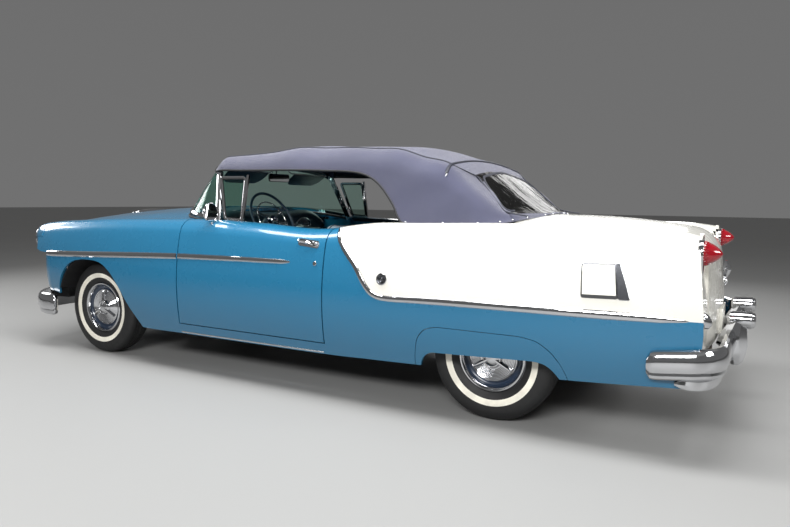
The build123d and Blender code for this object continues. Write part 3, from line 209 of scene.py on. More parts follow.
def smooth_path(points, step=12.0, closed=False):
    """Points about every step mm along a smooth curve through the given ones."""
    points = [np.array(p, dtype=float) for p in points]
    if closed:
        points = points + [points[0]]
    count = len(points)
    tangents = []
    for i in range(count):
        before = points[i - 1] if i else (points[-2] if closed else points[0])
        after = points[i + 1] if i < count - 1 else (points[1] if closed else points[-1])
        tangents.append((after - before) / 2)
    out = []
    for i in range(count - 1):
        a, b = points[i], points[i + 1]
        length = np.linalg.norm(b - a)
        ta = tangents[i] * (length / max(np.linalg.norm(tangents[i]), 1e-9))
        tb = tangents[i + 1] * (length / max(np.linalg.norm(tangents[i + 1]), 1e-9))
        steps = max(int(length / step), 1)
        for k in range(steps):
            from_a, from_ta, from_b, from_tb = curve_weights(k / steps)
            out.append(from_a * a + from_ta * ta + from_b * b + from_tb * tb)
    if not closed:
        out.append(points[-1])
    return np.array(out)


def rounded(points, radius, closed=True, steps=6):
    """A polygon with its corners rounded by arcs of about this radius, or a radius for each corner."""
    points = [np.array(p, dtype=float) for p in points]
    radii = list(radius) if isinstance(radius, (list, tuple)) else [radius] * len(points)
    out = []
    for i, p in enumerate(points):
        if not closed and i in (0, len(points) - 1):
            out.append(p)
            continue
        a, b = points[i - 1] - p, points[(i + 1) % len(points)] - p
        la, lb = np.linalg.norm(a), np.linalg.norm(b)
        back = min(radii[i], la * 0.45, lb * 0.45)
        if back < 0.01:
            out.append(p)
            continue
        start, end = p + a / la * back, p + b / lb * back
        for k in range(steps + 1):
            t = k / steps
            out.append((1 - t) ** 2 * start + 2 * t * (1 - t) * p + t ** 2 * end)
    return np.array(out)


def arc_through(a, b, c, count):
    """Points on the arc from a through b to c, and the direction in which it leaves c."""
    a, b, c = (np.array(p, dtype=float) for p in (a, b, c))
    d = 2 * (a[0] * (b[1] - c[1]) + b[0] * (c[1] - a[1]) + c[0] * (a[1] - b[1]))
    if abs(d) < 1e-6:
        return np.linspace(a, c, count), (c - a) / np.linalg.norm(c - a)
    squares = [p @ p for p in (a, b, c)]
    centre = np.array([
        (squares[0] * (b[1] - c[1]) + squares[1] * (c[1] - a[1]) + squares[2] * (a[1] - b[1])) / d,
        (squares[0] * (c[0] - b[0]) + squares[1] * (a[0] - c[0]) + squares[2] * (b[0] - a[0])) / d])
    angle = [atan2(p[1] - centre[1], p[0] - centre[0]) for p in (a, b, c)]
    turn = (angle[2] - angle[0]) % (2 * pi)
    if (angle[1] - angle[0]) % (2 * pi) > turn:
        turn -= 2 * pi
    radius = np.linalg.norm(a - centre)
    steps = angle[0] + turn * np.linspace(0, 1, count)
    points = centre + radius * np.stack([np.cos(steps), np.sin(steps)], axis=1)
    way = 1 if turn > 0 else -1
    return points, np.array([-sin(steps[-1]), cos(steps[-1])]) * way


def arc_from(start, direction, end, count):
    """Points on the arc that leaves start in a direction and reaches end, and its direction there."""
    start, end = np.array(start, dtype=float), np.array(end, dtype=float)
    chord = end - start
    length = np.linalg.norm(chord)
    turn = 2 * atan2(direction[0] * chord[1] - direction[1] * chord[0], float(direction @ chord))
    if abs(turn) < 1e-4:
        return np.linspace(start, end, count), direction
    radius = length / (2 * sin(turn / 2))
    centre = start + radius * np.array([-direction[1], direction[0]])
    steps = turn * np.linspace(0, 1, count)
    offset = start - centre
    points = centre + np.stack([offset[0] * np.cos(steps) - offset[1] * np.sin(steps),
                                offset[0] * np.sin(steps) + offset[1] * np.cos(steps)], axis=1)
    leaving = np.array([direction[0] * cos(turn) - direction[1] * sin(turn),
                        direction[0] * sin(turn) + direction[1] * cos(turn)])
    return points, leaving


# Meshes
def make_object(name, vertices, faces, materials=()):
    """A mesh object from points in millimetres."""
    mesh = bpy.data.meshes.new(name)
    mesh.from_pydata([tuple(v) for v in np.asarray(vertices, dtype=float) * MM], [],
                     [tuple(f) for f in faces])
    mesh.update()
    item = bpy.data.objects.new(name, mesh)
    bpy.context.scene.collection.objects.link(item)
    for material in materials:
        mesh.materials.append(material)
    return item


def make_solid(name, points, faces, material=None, sharp_angle=32.0):
    """A closed mesh with its faces outwards, smooth up to an angle, or flat where it is None."""
    item = make_object(name, np.asarray(points).reshape(-1, 3), faces, [material] if material else [])
    face_out(item)
    if sharp_angle:
        soften(item, sharp_angle)
    return item


def soften(item, sharp_angle=32.0):
    """Smooth shading with sharp edges past an angle."""
    mesh = item.data
    mesh.polygons.foreach_set("use_smooth", [True] * len(mesh.polygons))
    mesh.set_sharp_from_angle(angle=radians(sharp_angle))
    mesh.update()


def face_out(item):
    """Turns the faces of a closed mesh outwards and merges doubled points."""
    work = bmesh.new()
    work.from_mesh(item.data)
    bmesh.ops.remove_doubles(work, verts=work.verts, dist=0.00002)
    bmesh.ops.recalc_face_normals(work, faces=work.faces)
    work.to_mesh(item.data)
    work.free()
    item.data.update()
    return item


def grid_faces(rows, columns, close_rows=False, close_columns=False, start=0):
    """Quads of a grid of rows by columns."""
    faces = []
    for i in range(rows - (0 if close_rows else 1)):
        for j in range(columns - (0 if close_columns else 1)):
            a, b = start + i * columns + j, start + i * columns + (j + 1) % columns
            k = (i + 1) % rows
            faces.append((a, b, start + k * columns + (j + 1) % columns, start + k * columns + j))
    return faces


def unit(vectors):
    """Vectors at length 1."""
    return vectors / np.maximum(np.linalg.norm(vectors, axis=-1, keepdims=True), 1e-9)


def skin_normals(grid, outward=(0, 0, 1)):
    """Unit normals of a grid of points, turned so that they mostly point outward."""
    normal = unit(np.cross(np.gradient(grid, axis=0), np.gradient(grid, axis=1)))
    return normal if (normal @ np.array(outward, dtype=float)).mean() >= 0 else -normal


def shell(name, grid, thickness, material, outward=(0, 0, 1)):
    """A closed sheet of some thickness under a grid of outer points, which faces mostly outward."""
    grid = np.asarray(grid, dtype=float)
    under = grid - skin_normals(grid, outward) * thickness
    rows, columns = grid.shape[:2]
    base = rows * columns
    faces = grid_faces(rows, columns) + [tuple(reversed(f)) for f in grid_faces(rows, columns, start=base)]
    edge = [i * columns for i in range(rows)] + [(rows - 1) * columns + j for j in range(1, columns)]
    edge += [i * columns + columns - 1 for i in range(rows - 2, -1, -1)] + list(range(columns - 2, 0, -1))
    for a, b in zip(edge, edge[1:] + edge[:1]):
        faces.append((a, b, b + base, a + base))
    return make_solid(name, np.stack([grid, under]), faces, material)


def loft_block(name, sections, material=None, sharp_angle=32.0):
    """A closed block through closed sections with as many points each."""
    sections = np.asarray(sections, dtype=float)
    rows, columns = sections.shape[:2]
    faces = grid_faces(rows, columns, close_columns=True)
    faces += [tuple(reversed(range(columns))), tuple(range((rows - 1) * columns, rows * columns))]
    return make_solid(name, sections, faces, material, sharp_angle)


def prism(points, axis, low, high):
    """A closed prism for cutting: outlines are (x, z) for Y, (x, y) for Z and (y, z) for X."""
    place = {"X": lambda a, b, c: (c, a, b), "Y": lambda a, b, c: (a, c, b), "Z": lambda a, b,
             c: (a, b, c)}[axis]
    return loft_block("cutter", [[place(a, b, c) for a, b in points] for c in (low, high)],
                      sharp_angle=None)


def lathe(name, profile, centre, axis, material, segments=64, start=(0, 0, 1), closed=True,
          sharp_angle=32.0):
    """A turned piece from (distance along the axis, radius) points. A closed profile makes a ring."""
    axis = np.array(axis, dtype=float) / np.linalg.norm(axis)
    out = np.array(start, dtype=float)
    out = out - axis * (out @ axis)
    out = out / np.linalg.norm(out)
    other = np.cross(axis, out)
    rows = []
    for k in range(segments):
        angle = 2 * pi * k / segments
        direction = out * cos(angle) + other * sin(angle)
        rows.append([np.array(centre) + axis * a + direction * r for a, r in profile])
    faces = grid_faces(segments, len(profile), close_rows=True, close_columns=closed)
    return make_solid(name, rows, faces, material, sharp_angle)


def frames_across(path, up, closed):
    """Two directions across a path at each of its points, the second close to up."""
    steps = np.roll(path, -1, axis=0) - np.roll(path, 1, axis=0) if closed else np.gradient(path, axis=0)
    along = unit(steps)
    side = unit(np.cross(np.broadcast_to(np.asarray(up, dtype=float), path.shape), along))
    return side, np.cross(along, side)


def sweep(name, path, profile, material, up=(0, 0, 1), closed=False, scale=None, sharp_angle=40.0):
    """A profile of (side, up) points swept along a path, with a factor for each point of it in scale."""
    path = np.asarray(path, dtype=float)
    side, above = frames_across(path, up, closed)
    profile = np.asarray(profile, dtype=float)
    rows = []
    for i, p in enumerate(path):
        factor = 1.0 if scale is None else scale[i]
        rows.append(p + np.outer(profile[:, 0] * factor, side[i])
                    + np.outer(profile[:, 1] * factor, above[i]))
    columns = len(profile)
    faces = grid_faces(len(path), columns, close_rows=closed, close_columns=True)
    if not closed:
        faces += [tuple(reversed(range(columns))),
                  tuple(range((len(path) - 1) * columns, len(path) * columns))]
    return make_solid(name, rows, faces, material, sharp_angle)


def circle(radius, count=12, flat=1.0):
    """A round profile, or an oval one."""
    return [(radius * cos(2 * pi * k / count), radius * flat * sin(2 * pi * k / count))
            for k in range(count)]


def tube(name, path, radius, material, sides=12, closed=False, up=(0, 0, 1)):
    """A round rod along a path."""
    return sweep(name, path, circle(radius, sides), material, up=up, closed=closed, sharp_angle=60.0)


def cut(item, cutters, operation="DIFFERENCE"):
    """Cuts an object with closed ones, which are deleted."""
    for cutter in cutters:
        step = item.modifiers.new("cut", "BOOLEAN")
        step.operation, step.solver, step.object = operation, "EXACT", cutter
        bake(item)
        remove(cutter)
    soften(item)
    return item


def bake(item):
    """Applies an object's modifiers to its mesh."""
    graph = bpy.context.evaluated_depsgraph_get()
    mesh = bpy.data.meshes.new_from_object(item.evaluated_get(graph))
    old = item.data
    item.modifiers.clear()
    item.data = mesh
    bpy.data.meshes.remove(old)


def remove(item):
    """Deletes an object and its mesh."""
    mesh = item.data
    bpy.data.objects.remove(item)
    bpy.data.meshes.remove(mesh)


def join(items, name):
    """Several objects as one, with their materials."""
    work, materials = bmesh.new(), []
    for item in items:
        slots = []
        for material in item.data.materials:
            if material not in materials:
                materials.append(material)
            slots.append(materials.index(material))
        start = len(work.faces)
        work.from_mesh(item.data)
        work.faces.ensure_lookup_table()
        for face in work.faces[start:]:
            face.material_index = slots[face.material_index] if slots else 0
    joined = items[0]
    mesh = bpy.data.meshes.new(name)
    work.to_mesh(mesh)
    work.free()
    for material in materials:
        mesh.materials.append(material)
    for item in items[1:]:
        remove(item)
    old = joined.data
    joined.data = mesh
    bpy.data.meshes.remove(old)
    joined.name = name
    return joined


def copy_to(item, name, side=LEFT):
    """A copy of an object, mirrored to the right side of the car if side says so."""
    copy = item.copy()
    copy.data = item.data.copy()
    copy.name = name
    bpy.context.scene.collection.objects.link(copy)
    if side == RIGHT:
        work = bmesh.new()
        work.from_mesh(copy.data)
        for vertex in work.verts:
            vertex.co.y = -vertex.co.y
        bmesh.ops.reverse_faces(work, faces=work.faces)
        work.to_mesh(copy.data)
        work.free()
    return copy


def attach(item, body, slot, *replaced):
    """Puts a piece on a CAD body and hides the nodes that it stands for. The slot argument is not used."""
    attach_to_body(item, body)
    if replaced:
        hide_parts(*replaced)
    return item


def both_sides(item, name, body, slot, nodes=()):
    """A left piece and its mirror image. Bodies and nodes may hold SIDE, which becomes left or right."""
    item.name = f"{name}_left"
    other = copy_to(item, f"{name}_right", RIGHT)
    for piece, side in ((item, "left"), (other, "right")):
        attach(piece, body.replace("SIDE", side), slot, *[n.replace("SIDE", side) for n in nodes])
    return item, other


# Materials
class Field:
    """A number, vector or colour that varies over a surface."""

    def __init__(self, look, socket):
        self.look, self.socket = look, socket

    def maths(self, operation, *others):
        inputs = {0: self}
        inputs.update({i + 1: other for i, other in enumerate(others)})
        return self.look.node("ShaderNodeMath", {"operation": operation}, inputs)

    def __add__(self, other):
        return self.maths("ADD", other)

    __radd__ = __add__

    def __sub__(self, other):
        return self.maths("SUBTRACT", other)

    def __rsub__(self, other):
        return self.maths("MULTIPLY", -1.0) + other

    def __mul__(self, other):
        return self.maths("MULTIPLY", other)

    __rmul__ = __mul__

    def within(self, low, high, fade=0.003):
        """1 between low and high, fading inside them."""
        return self.between(low, low + fade) * (1.0 - self.between(high - fade, high))

    def between(self, low, high):
        """0 below low, 1 above high and smooth between."""
        return self.look.node("ShaderNodeMapRange", {"interpolation_type": "SMOOTHSTEP"},
                              {"Value": self, "From Min": low, "From Max": high})


class Look:
    """A procedural material built on one Principled shader."""

    def __init__(self, name, color, roughness=0.5, **constants):
        self.material = bpy.data.materials.new(name)
        self.material.use_nodes = True
        self.tree = self.material.node_tree
        self.shader = self.tree.nodes["Principled BSDF"]
        self.color = color
        self.shader.inputs["Base Color"].default_value = (*color, 1.0)
        self.shader.inputs["Roughness"].default_value = roughness
        for key, value in constants.items():
            self.shader.inputs[key.replace("_", " ")].default_value = value

    def node(self, kind, settings=None, inputs=None, output=0):
        node = self.tree.nodes.new(kind)
        for key, value in (settings or {}).items():
            setattr(node, key, value)
        for key, value in (inputs or {}).items():
            if isinstance(value, Field):
                self.tree.links.new(value.socket, node.inputs[key])
            else:
                node.inputs[key].default_value = value
        return Field(self, node.outputs[output])

    def place(self):
        """The position on the car, in metres."""
        return self.node("ShaderNodeTexCoord", output=3)

    def axis(self, letter):
        return self.node("ShaderNodeSeparateXYZ", {}, {0: self.place()}, "XYZ".index(letter))

    def noise(self, scale, detail=2.0, roughness=0.5, stretch=(1, 1, 1)):
        place = self.node("ShaderNodeVectorMath", {"operation": "MULTIPLY"}, {0: self.place(), 1: stretch})
        inputs = {"Vector": place, "Scale": scale, "Detail": detail, "Roughness": roughness}
        return self.node("ShaderNodeTexNoise", {}, inputs)

    def mix(self, amount, a, b):
        """Colour a where amount is 0 and b where it is 1."""
        as_input = lambda c: c if isinstance(c, Field) else (*c, 1.0)
        return self.node("ShaderNodeMix", {"data_type": "RGBA"},
                         {0: amount, 6: as_input(a), 7: as_input(b)}, 2)

    def feed(self, name, field):
        self.tree.links.new(field.socket, self.shader.inputs[name])

    def bump(self, height, distance, strength=1.0):
        """Raises the surface by a field of heights, at most distance metres."""
        normal = self.node("ShaderNodeBump", {},
                           {"Height": height, "Distance": distance, "Strength": strength})
        self.feed("Normal", normal)


def shaded(color, factor):
    """A colour made darker or lighter."""
    return tuple(c * factor for c in color)


def paint(name, color, road_shade_and_dust=0.12):
    """Glossy enamel with a faint orange peel, slightly duller towards the road, and darkened towards it by
    painted shade with a little dust.
    """
    look = Look(name, color, 0.28, Coat_Weight=0.8, Coat_Roughness=0.07, Specular_IOR_Level=0.4)
    low = 1.0 - look.axis("Z").between(0.22, 0.72)
    patches = look.noise(3.0, 3.0)
    # Painted shade: the third argument darkens the colour towards the road, standing for the shade under
    # the body, with a little dust. The patches are uneven tone.
    look.feed("Base Color", look.mix(low * road_shade_and_dust + patches * 0.05, color, shaded(color, 0.55)))
    look.feed("Roughness", look.noise(9.0, 3.0) * 0.10 + low * 0.10 + 0.22)
    look.bump(look.noise(420.0, 1.0), 0.00004, 0.5)
    return look.material


def chrome(name="chrome_plate", roughness=0.05, color=(0.60, 0.605, 0.62)):
    """Bright plating with faint polishing marks."""
    look = Look(name, color, roughness, Metallic=1.0)
    marks = look.noise(60.0, 4.0, 0.6, (1, 1, 3))
    look.feed("Roughness", marks * 0.08 + roughness * 0.6)
    look.feed("Base Color", look.mix(look.noise(7.0, 4.0).between(0.55, 0.8) * 0.25, color,
                                     shaded(color, 0.72)))
    return look.material


def cloth(name, color, thread=0.0016, sheen=0.35):
    """Woven cloth: threads both ways, small folds and uneven colour."""
    look = Look(name, color, 0.88, Sheen_Weight=sheen, Sheen_Roughness=0.45)
    repeat = 2 * pi / thread
    along = (look.axis("X") * repeat).maths("SINE")
    across = ((look.axis("Y") + look.axis("Z")) * repeat).maths("SINE")
    weave = along * across
    blotch = look.noise(2.2, 4.0, 0.6)
    look.feed("Base Color", look.mix(blotch.between(0.35, 0.75) * 0.55 + weave * 0.06, shaded(color, 0.82),
                                     shaded(color, 1.18)))
    look.feed("Roughness", look.noise(30.0, 2.0) * 0.12 + 0.8)
    look.bump(weave * 0.22 + look.noise(5.0, 4.0, 0.6) * 1.4, 0.004, 0.6)
    return look.material


VINYL_ROUGHNESS = 0.42
VINYL_GRAIN = 380.0
INSERT_THREAD = 0.006


def vinyl(name, color):
    """Grained seat vinyl."""
    look = Look(name, color, VINYL_ROUGHNESS, Coat_Weight=0.15, Coat_Roughness=0.3)
    cells = look.node("ShaderNodeTexVoronoi", {}, {"Vector": look.place(), "Scale": VINYL_GRAIN})
    look.feed("Base Color", look.mix(look.noise(8.0, 3.0) * 0.4, color, shaded(color, 0.75)))
    look.feed("Roughness", look.noise(20.0, 2.0) * 0.15 + (VINYL_ROUGHNESS - 0.07))
    look.bump(cells * 0.5 + look.noise(18.0, 2.0) * 0.5, 0.0006, 0.5)
    return look.material


def seat_vinyl(name, color, insert):
    """Grained seat vinyl whose pleated middle has a second colour and a woven grain."""
    look = Look(name, color, VINYL_ROUGHNESS, Coat_Weight=0.12, Coat_Roughness=0.3)
    wide = look.axis("Y").maths("ABSOLUTE")
    x, z = look.axis("X"), look.axis("Z")
    back_y = (wide - 0.316).maths("ABSOLUTE")
    front_back = (1.0 - back_y.between(0.184, 0.187)) * z.within(0.68, 0.94)
    front_back = front_back * (x + z * 0.22).between(0.04, 0.045) * (1.0 - x.between(0.0, 0.01))
    middle = 1.0 - wide.between(0.418, 0.421)
    rear_back = middle * z.within(0.66, 0.93) * (1.0 - (x + z * 0.2).between(-0.6, -0.59))
    rear_back = rear_back * (x + z * 0.26).between(-0.87, -0.865)
    rear = middle * x.within(-0.9, -0.62) * z.within(0.56, 0.64, 0.01)
    front = (1.0 - wide.between(0.498, 0.501)) * x.within(-0.02, 0.36)
    front = front * z.between(0.56, 0.57) * (1.0 - z.between(0.655, 0.66))
    area = (front_back + rear_back + rear + front).maths("MINIMUM", 1.0)
    repeat = 2 * pi / INSERT_THREAD
    weave = (look.axis("Y") * repeat).maths("SINE") * ((x + z) * repeat).maths("SINE")
    cells = look.node("ShaderNodeTexVoronoi", {}, {"Vector": look.place(), "Scale": VINYL_GRAIN})
    look.feed("Base Color", look.mix(area,
                                     look.mix(look.noise(8.0, 3.0) * 0.35, color, shaded(color, 0.78)),
                                     look.mix(weave * 0.5 + 0.5, shaded(insert, 0.7), insert)))
    look.feed("Roughness", look.noise(20.0, 2.0) * 0.15 + area * 0.15 + 0.36)
    look.bump(cells * 0.4 + weave * area * 0.5 + look.noise(18.0, 2.0) * 0.5, 0.0006, 0.5)
    return look.material


def plain(name, color, roughness=0.5, metallic=0.0, dust=0.25, grain=0.00025):
    """Painted, moulded or bare parts: uneven colour and a fine grain."""
    look = Look(name, color, roughness, Metallic=metallic)
    look.feed("Base Color", look.mix(look.noise(12.0, 5.0, 0.6).between(0.4, 0.75) * dust, color,
                                     tuple(c * 0.55 + 0.02 for c in color)))
    look.feed("Roughness", look.noise(55.0, 3.0) * 0.2 + (roughness - 0.08))
    look.bump(look.noise(330.0, 2.0), grain, 0.5)
    return look.material


def rubber(name, color=(0.007, 0.007, 0.0075), roughness=0.62):
    """Rubber, dull and greyed in patches."""
    look = Look(name, color, roughness)
    look.feed("Base Color", look.mix(look.noise(9.0, 4.0).between(0.4, 0.8) * 0.5, color,
                                     shaded(color, 1.8)))
    look.feed("Roughness", look.noise(40.0, 3.0) * 0.2 + roughness - 0.1)
    look.bump(look.noise(260.0, 2.0), 0.0003, 0.4)
    return look.material


def pane(name, tint, gloss=1.0, cloud=0.0):
    """Clear sheet: see-through with a tint, and reflecting more at a low angle."""
    look = Look(name, tint, 0.02)
    tree = look.tree
    clear = tree.nodes.new("ShaderNodeBsdfTransparent")
    clear.inputs["Color"].default_value = (*tint, 1.0)
    mirror = tree.nodes.new("ShaderNodeBsdfGlossy")
    mirror.inputs["Roughness"].default_value = 0.02
    mirror.inputs["Color"].default_value = (1, 1, 1, 1)
    edge_on = look.node("ShaderNodeLayerWeight", {}, {"Blend": 0.5}, 1)
    blend = tree.nodes.new("ShaderNodeMixShader")
    amount = (edge_on.maths("POWER", 5.0) * 0.96 + 0.04) * gloss
    if cloud:
        folds = look.noise(3.5, 3.0, 0.6, (1, 2.2, 1))
        amount = amount + folds.between(0.45, 0.8) * cloud
        bump = look.node("ShaderNodeBump", {}, {"Height": folds, "Distance": 0.02, "Strength": 0.6})
        tree.links.new(bump.socket, mirror.inputs["Normal"])
        mirror.inputs["Roughness"].default_value = 0.12
    tree.links.new(amount.socket, blend.inputs[0])
    tree.links.new(clear.outputs[0], blend.inputs[1])
    tree.links.new(mirror.outputs[0], blend.inputs[2])
    tree.links.new(blend.outputs[0], tree.nodes["Material Output"].inputs["Surface"])
    return look.material


def lens(name, color, ribs=0.0):
    """Coloured lamp lens."""
    look = Look(name, color, 0.12, Coat_Weight=1.0, Coat_Roughness=0.03, Transmission_Weight=0.35, IOR=1.45)
    look.feed("Base Color", look.mix(look.noise(30.0, 2.0) * 0.5, color, shaded(color, 0.6)))
    if ribs:
        look.bump((look.axis("Z") * ribs).maths("SINE"), 0.002, 0.5)
    return look.material


# The blue's third argument is strong painted shade towards the road. The white's is slight.
BLUE = paint("blue_enamel", (0.014, 0.150, 0.285), 0.6)
WHITE = paint("white_enamel", (0.80, 0.785, 0.72), 0.05)
CHROME = chrome()
SATIN = chrome("satin_chrome", 0.22, (0.60, 0.61, 0.63))
DARK_CHROME = chrome("dark_chrome", 0.18, (0.16, 0.165, 0.18))
CANVAS = cloth("blue_grey_cloth", (0.066, 0.069, 0.122))
LINER = cloth("dark_lining_cloth", (0.018, 0.02, 0.03), sheen=0.1)
PIPING = plain("dark_piping", (0.02, 0.022, 0.035), 0.6)
SEAL = rubber("weather_seal", (0.012, 0.012, 0.013))
GLASS = pane("green_tinted_glass", (0.74, 0.88, 0.83), 0.45)
VINYL_WINDOW = pane("clear_vinyl", (0.30, 0.29, 0.27), 0.35, 0.05)
RED_LENS = lens("red_lens", (0.40, 0.002, 0.012))
CLEAR_LENS = lens("clear_lens", (0.82, 0.84, 0.84), 500.0)
PALE_LENS = lens("pale_lens", (0.85, 0.70, 0.45), 500.0)
SILVER_VINYL = vinyl("silver_blue_vinyl", (0.42, 0.52, 0.58))
DARK_VINYL = vinyl("dark_blue_vinyl", (0.018, 0.045, 0.075))
DASH_PAINT = plain("dash_enamel", (0.008, 0.026, 0.045), 0.45)
CARPET = cloth("dark_carpet", (0.012, 0.022, 0.035), 0.004, 0.2)
TYRE_RUBBER = rubber("tyre_rubber")
WHITEWALL = rubber("whitewall_rubber", (0.72, 0.69, 0.60), 0.5)
BLACK_PAINT = plain("black_chassis_paint", (0.014, 0.014, 0.015), 0.45)
STEEL = plain("dark_steel", (0.07, 0.07, 0.075), 0.5, 0.7)
PIPE_STEEL = plain("pipe_steel", (0.20, 0.17, 0.15), 0.55, 0.8, 0.5)
IRON = plain("engine_paint", (0.03, 0.10, 0.06), 0.5)
DIAL = plain("dial_face", (0.03, 0.04, 0.05), 0.4)
# Dark blue enamel for the steering wheel's cap, also used on the wheel covers as a painted reflection of
# the body.
DARK_BLUE_AND_PAINTED_REFLECTION = paint("hub_enamel", (0.008, 0.02, 0.045), 0.0)
SEAT_VINYL = seat_vinyl("seat_vinyl", (0.46, 0.56, 0.62), (0.06, 0.22, 0.32))
DIAL_MARKS = plain("dial_marks", (0.75, 0.76, 0.72), 0.4, dust=0.1)
MIRROR = plain("mirror_face", (0.85, 0.87, 0.88), 0.02, 1.0, 0.05, 0.0)


# The body's sides
SIDE_ROWS = [flat_row(row) for row in SIDE_STATIONS]


def section(x, counts=(26, 9, 9)):
    """Points (y, z) of the outer skin at x, from the sill up to the inner edge."""
    values = smooth_columns(SIDE_ROWS, x)
    sill, widest, shoulder, crest, inner = (values[i:i + 2] for i in range(0, 10, 2))
    flank, leaving = arc_through(sill, widest, shoulder, counts[0])
    bend, leaving = arc_from(shoulder, leaving, crest, counts[1])
    crown, _ = arc_from(crest, leaving, inner, counts[2])
    line = np.concatenate([flank, bend[1:], crown[1:]])
    line[:, 0] -= pinch(x, line[:, 1])
    return line


def pinch(x, z):
    """How far the panel falls away ahead of the tail lamp's bezel, below the fin."""
    return 15.0 * np.exp(-((x + 2404) / 85.0) ** 2) * np.exp(-((z - 866) / 44.0) ** 2)


def skin_y(x, z):
    """The distance from the car's middle to the outer skin at x and height z, below the crest."""
    points = section(x, (60, 16, 2))
    rising = points[:75]
    return float(np.interp(z, rising[:, 1], rising[:, 0]))


def skin_frame(x, z):
    """The point of the outer skin at x and z, and its outward normal."""
    y = skin_y(x, z)
    dx = (skin_y(x + 6, z) - skin_y(x - 6, z)) / 12
    dz = (skin_y(x, z + 5) - skin_y(x, z - 5)) / 10
    normal = np.array([-dx, 1.0, -dz])
    return np.array([x, y, z]), normal / np.linalg.norm(normal)


def side_grid(x_low, x_high):
    """Points of the outer skin between two x, about 16 mm apart."""
    count = int((x_high - x_low) / 16.0)
    return np.array([[(x, y, z) for y, z in section(x)] for x in np.linspace(x_low, x_high, count)])


def side_cutter(points, y_low=500):
    """A cutter through the body's side from an outline of (x, z)."""
    return prism(points, "Y", y_low, 1100)


def seam_box(x_low, x_high, z_low, z_high, y_low):
    """A box for cutting along a straight seam."""
    return side_cutter([(x_low, z_low), (x_high, z_low), (x_high, z_high), (x_low, z_high)], y_low)


def shape_arch(points, rounding):
    """The outline of a wheel opening with rounded corners."""
    return [tuple(p) for p in rounded(points, rounding, closed=False, steps=5)]


FRONT_ARCH_LINE = shape_arch(FRONT_ARCH, 50)
SKIRT_SEAM_LINE = shape_arch(SKIRT_SEAM, 30)
SKIRT_OPENING_LINE = shape_arch(SKIRT_OPENING, 30)


def skin_low(x):
    """Height of the lower edge of the outer skin at x."""
    return float(smooth_columns(SIDE_ROWS, x)[1])


def make_front_fender():
    """The fender's side from the door seam to the nose, with its wheel opening."""
    item = shell("fender", side_grid(794 + PANEL_GAP, 2404), WALL, BLUE, (0, 1, 0))
    nose = NOSE_FACE + [(2600, 440), (2600, 1120)]
    return cut(item, [side_cutter(FRONT_ARCH_LINE), side_cutter(nose)])


POD_STATIONS = [
    # x, inner y, outer y, low z, high z
    (2340, 640, 884, 742, 963), (2400, 640, 876, 742, 962), (2436, 644, 862, 742, 958),
    (2462, 650, 850, 746, 952),
    (2480, 655, 842, 752, 944), (2492, 660, 834, 760, 936), (2500, 668, 826, 770, 928),
]
POD_SQUARENESS = 0.82


def fender_nose():
    """Sections of the fender's front round its headlamp, as rounded squares."""
    rows = []
    for x, inner, outer, low, high in POD_STATIONS:
        middle_y, middle_z = (inner + outer) / 2, (low + high) / 2
        half_y, half_z = (outer - inner) / 2, (high - low) / 2
        ring = []
        for k in range(48):
            across, up = cos(2 * pi * k / 48), sin(2 * pi * k / 48)
            ring.append((x, middle_y + half_y * np.sign(across) * abs(across) ** POD_SQUARENESS,
                         middle_z + half_z * np.sign(up) * abs(up) ** POD_SQUARENESS))
        rows.append(ring)
    return rows


def nose_corner():
    """The fender's rounded front corner below its lamp, from the side round to the grille."""
    rows = []
    for z in np.linspace(446, 752, 18):
        side_y = skin_y(2200, z)
        drop = 16.0 * max(0.0, (520 - z) / 74.0) ** 2
        rows.append([(2198 + (232 - drop) * sin(t), 634 + (side_y - 634) * cos(t), z)
                     for t in np.linspace(0, pi / 2, 22)])
    return shell("nose_corner", rows, WALL, BLUE, (0.7, 0.7, 0))


def make_door():
    """The door's outer skin with its thickness, cut to its seams and to the arc of its hinge."""
    rows = []
    for x in np.linspace(DOOR_REAR_SEAM_X + 4, FENDER_SEAM_X - 4, 76):
        values = smooth_columns(SIDE_ROWS, x)
        sill, inner = values[0:2], values[8:10]
        outline = [(x, y, z) for y, z in section(x)]
        outline += [(x, inner[0] + 35, inner[1] - 12), (x, DOOR_INNER_Y, 700), (x, DOOR_INNER_Y, sill[1])]
        rows.append(outline)
    item = loft_block("door", rows, BLUE)
    rear = DOOR_REAR_SEAM_X + 4
    sweep_profile = [(0, 376)]
    for z in np.linspace(376, 838, 12):
        sweep_profile.append((sqrt(48.0 ** 2 + max(skin_y(794, z) - HINGE[1], 0) ** 2), z))
    sweep_profile.append((0, 838))
    ring = lathe("cutter", [(z, r) for r, z in sweep_profile], (*HINGE, 0), (0, 0, 1), None, 96, (-1, 0, 0))
    below = seam_box(-500, 900, 0, DOOR_BOTTOM_Z, 700)
    wedge = prism([(rear - 20, 600), (rear - 20, 890), (rear, 890), (rear + 18, 600)], "Z", 200, 1200)
    dogleg = prism([(518, 700), (518, 827), (900, 827), (900, 700)], "Z", 858, 1100)
    return cut(item, [below, wedge, dogleg, ring])


def make_sill():
    """The sill under the door, a box behind the outer skin."""
    rows = []
    for x in np.linspace(DOOR_REAR_SEAM_X - 4, FENDER_SEAM_X + 4, 40):
        points = section(x)[:24]
        heights = np.linspace(points[0][1], 600, 18)
        rows.append([(x, np.interp(z, points[:, 1], points[:, 0]), z) for z in heights]
                    + [(x, 790, 600), (x, 790, points[0][1])])
    item = loft_block("sill", rows, BLUE)
    return cut(item, [seam_box(-600, 1000, SILL_TOP_Z, 900, 500)])


TAIL_EDGE_X = -2404.0
QUARTER_LINE = [(-446, 1010), (-459, 974), (-520, 892), (-601, 805), (-672, 706), (-720, 660), (-790, 641),
                (-1000, 645),
                (-1200, 649), (-1726, 655), (-2134, 658), (-2393, 656)]


def quarter_line():
    """The line between the two colours on the quarter panel, as (x, z)."""
    return smooth_path(QUARTER_LINE, 14.0)


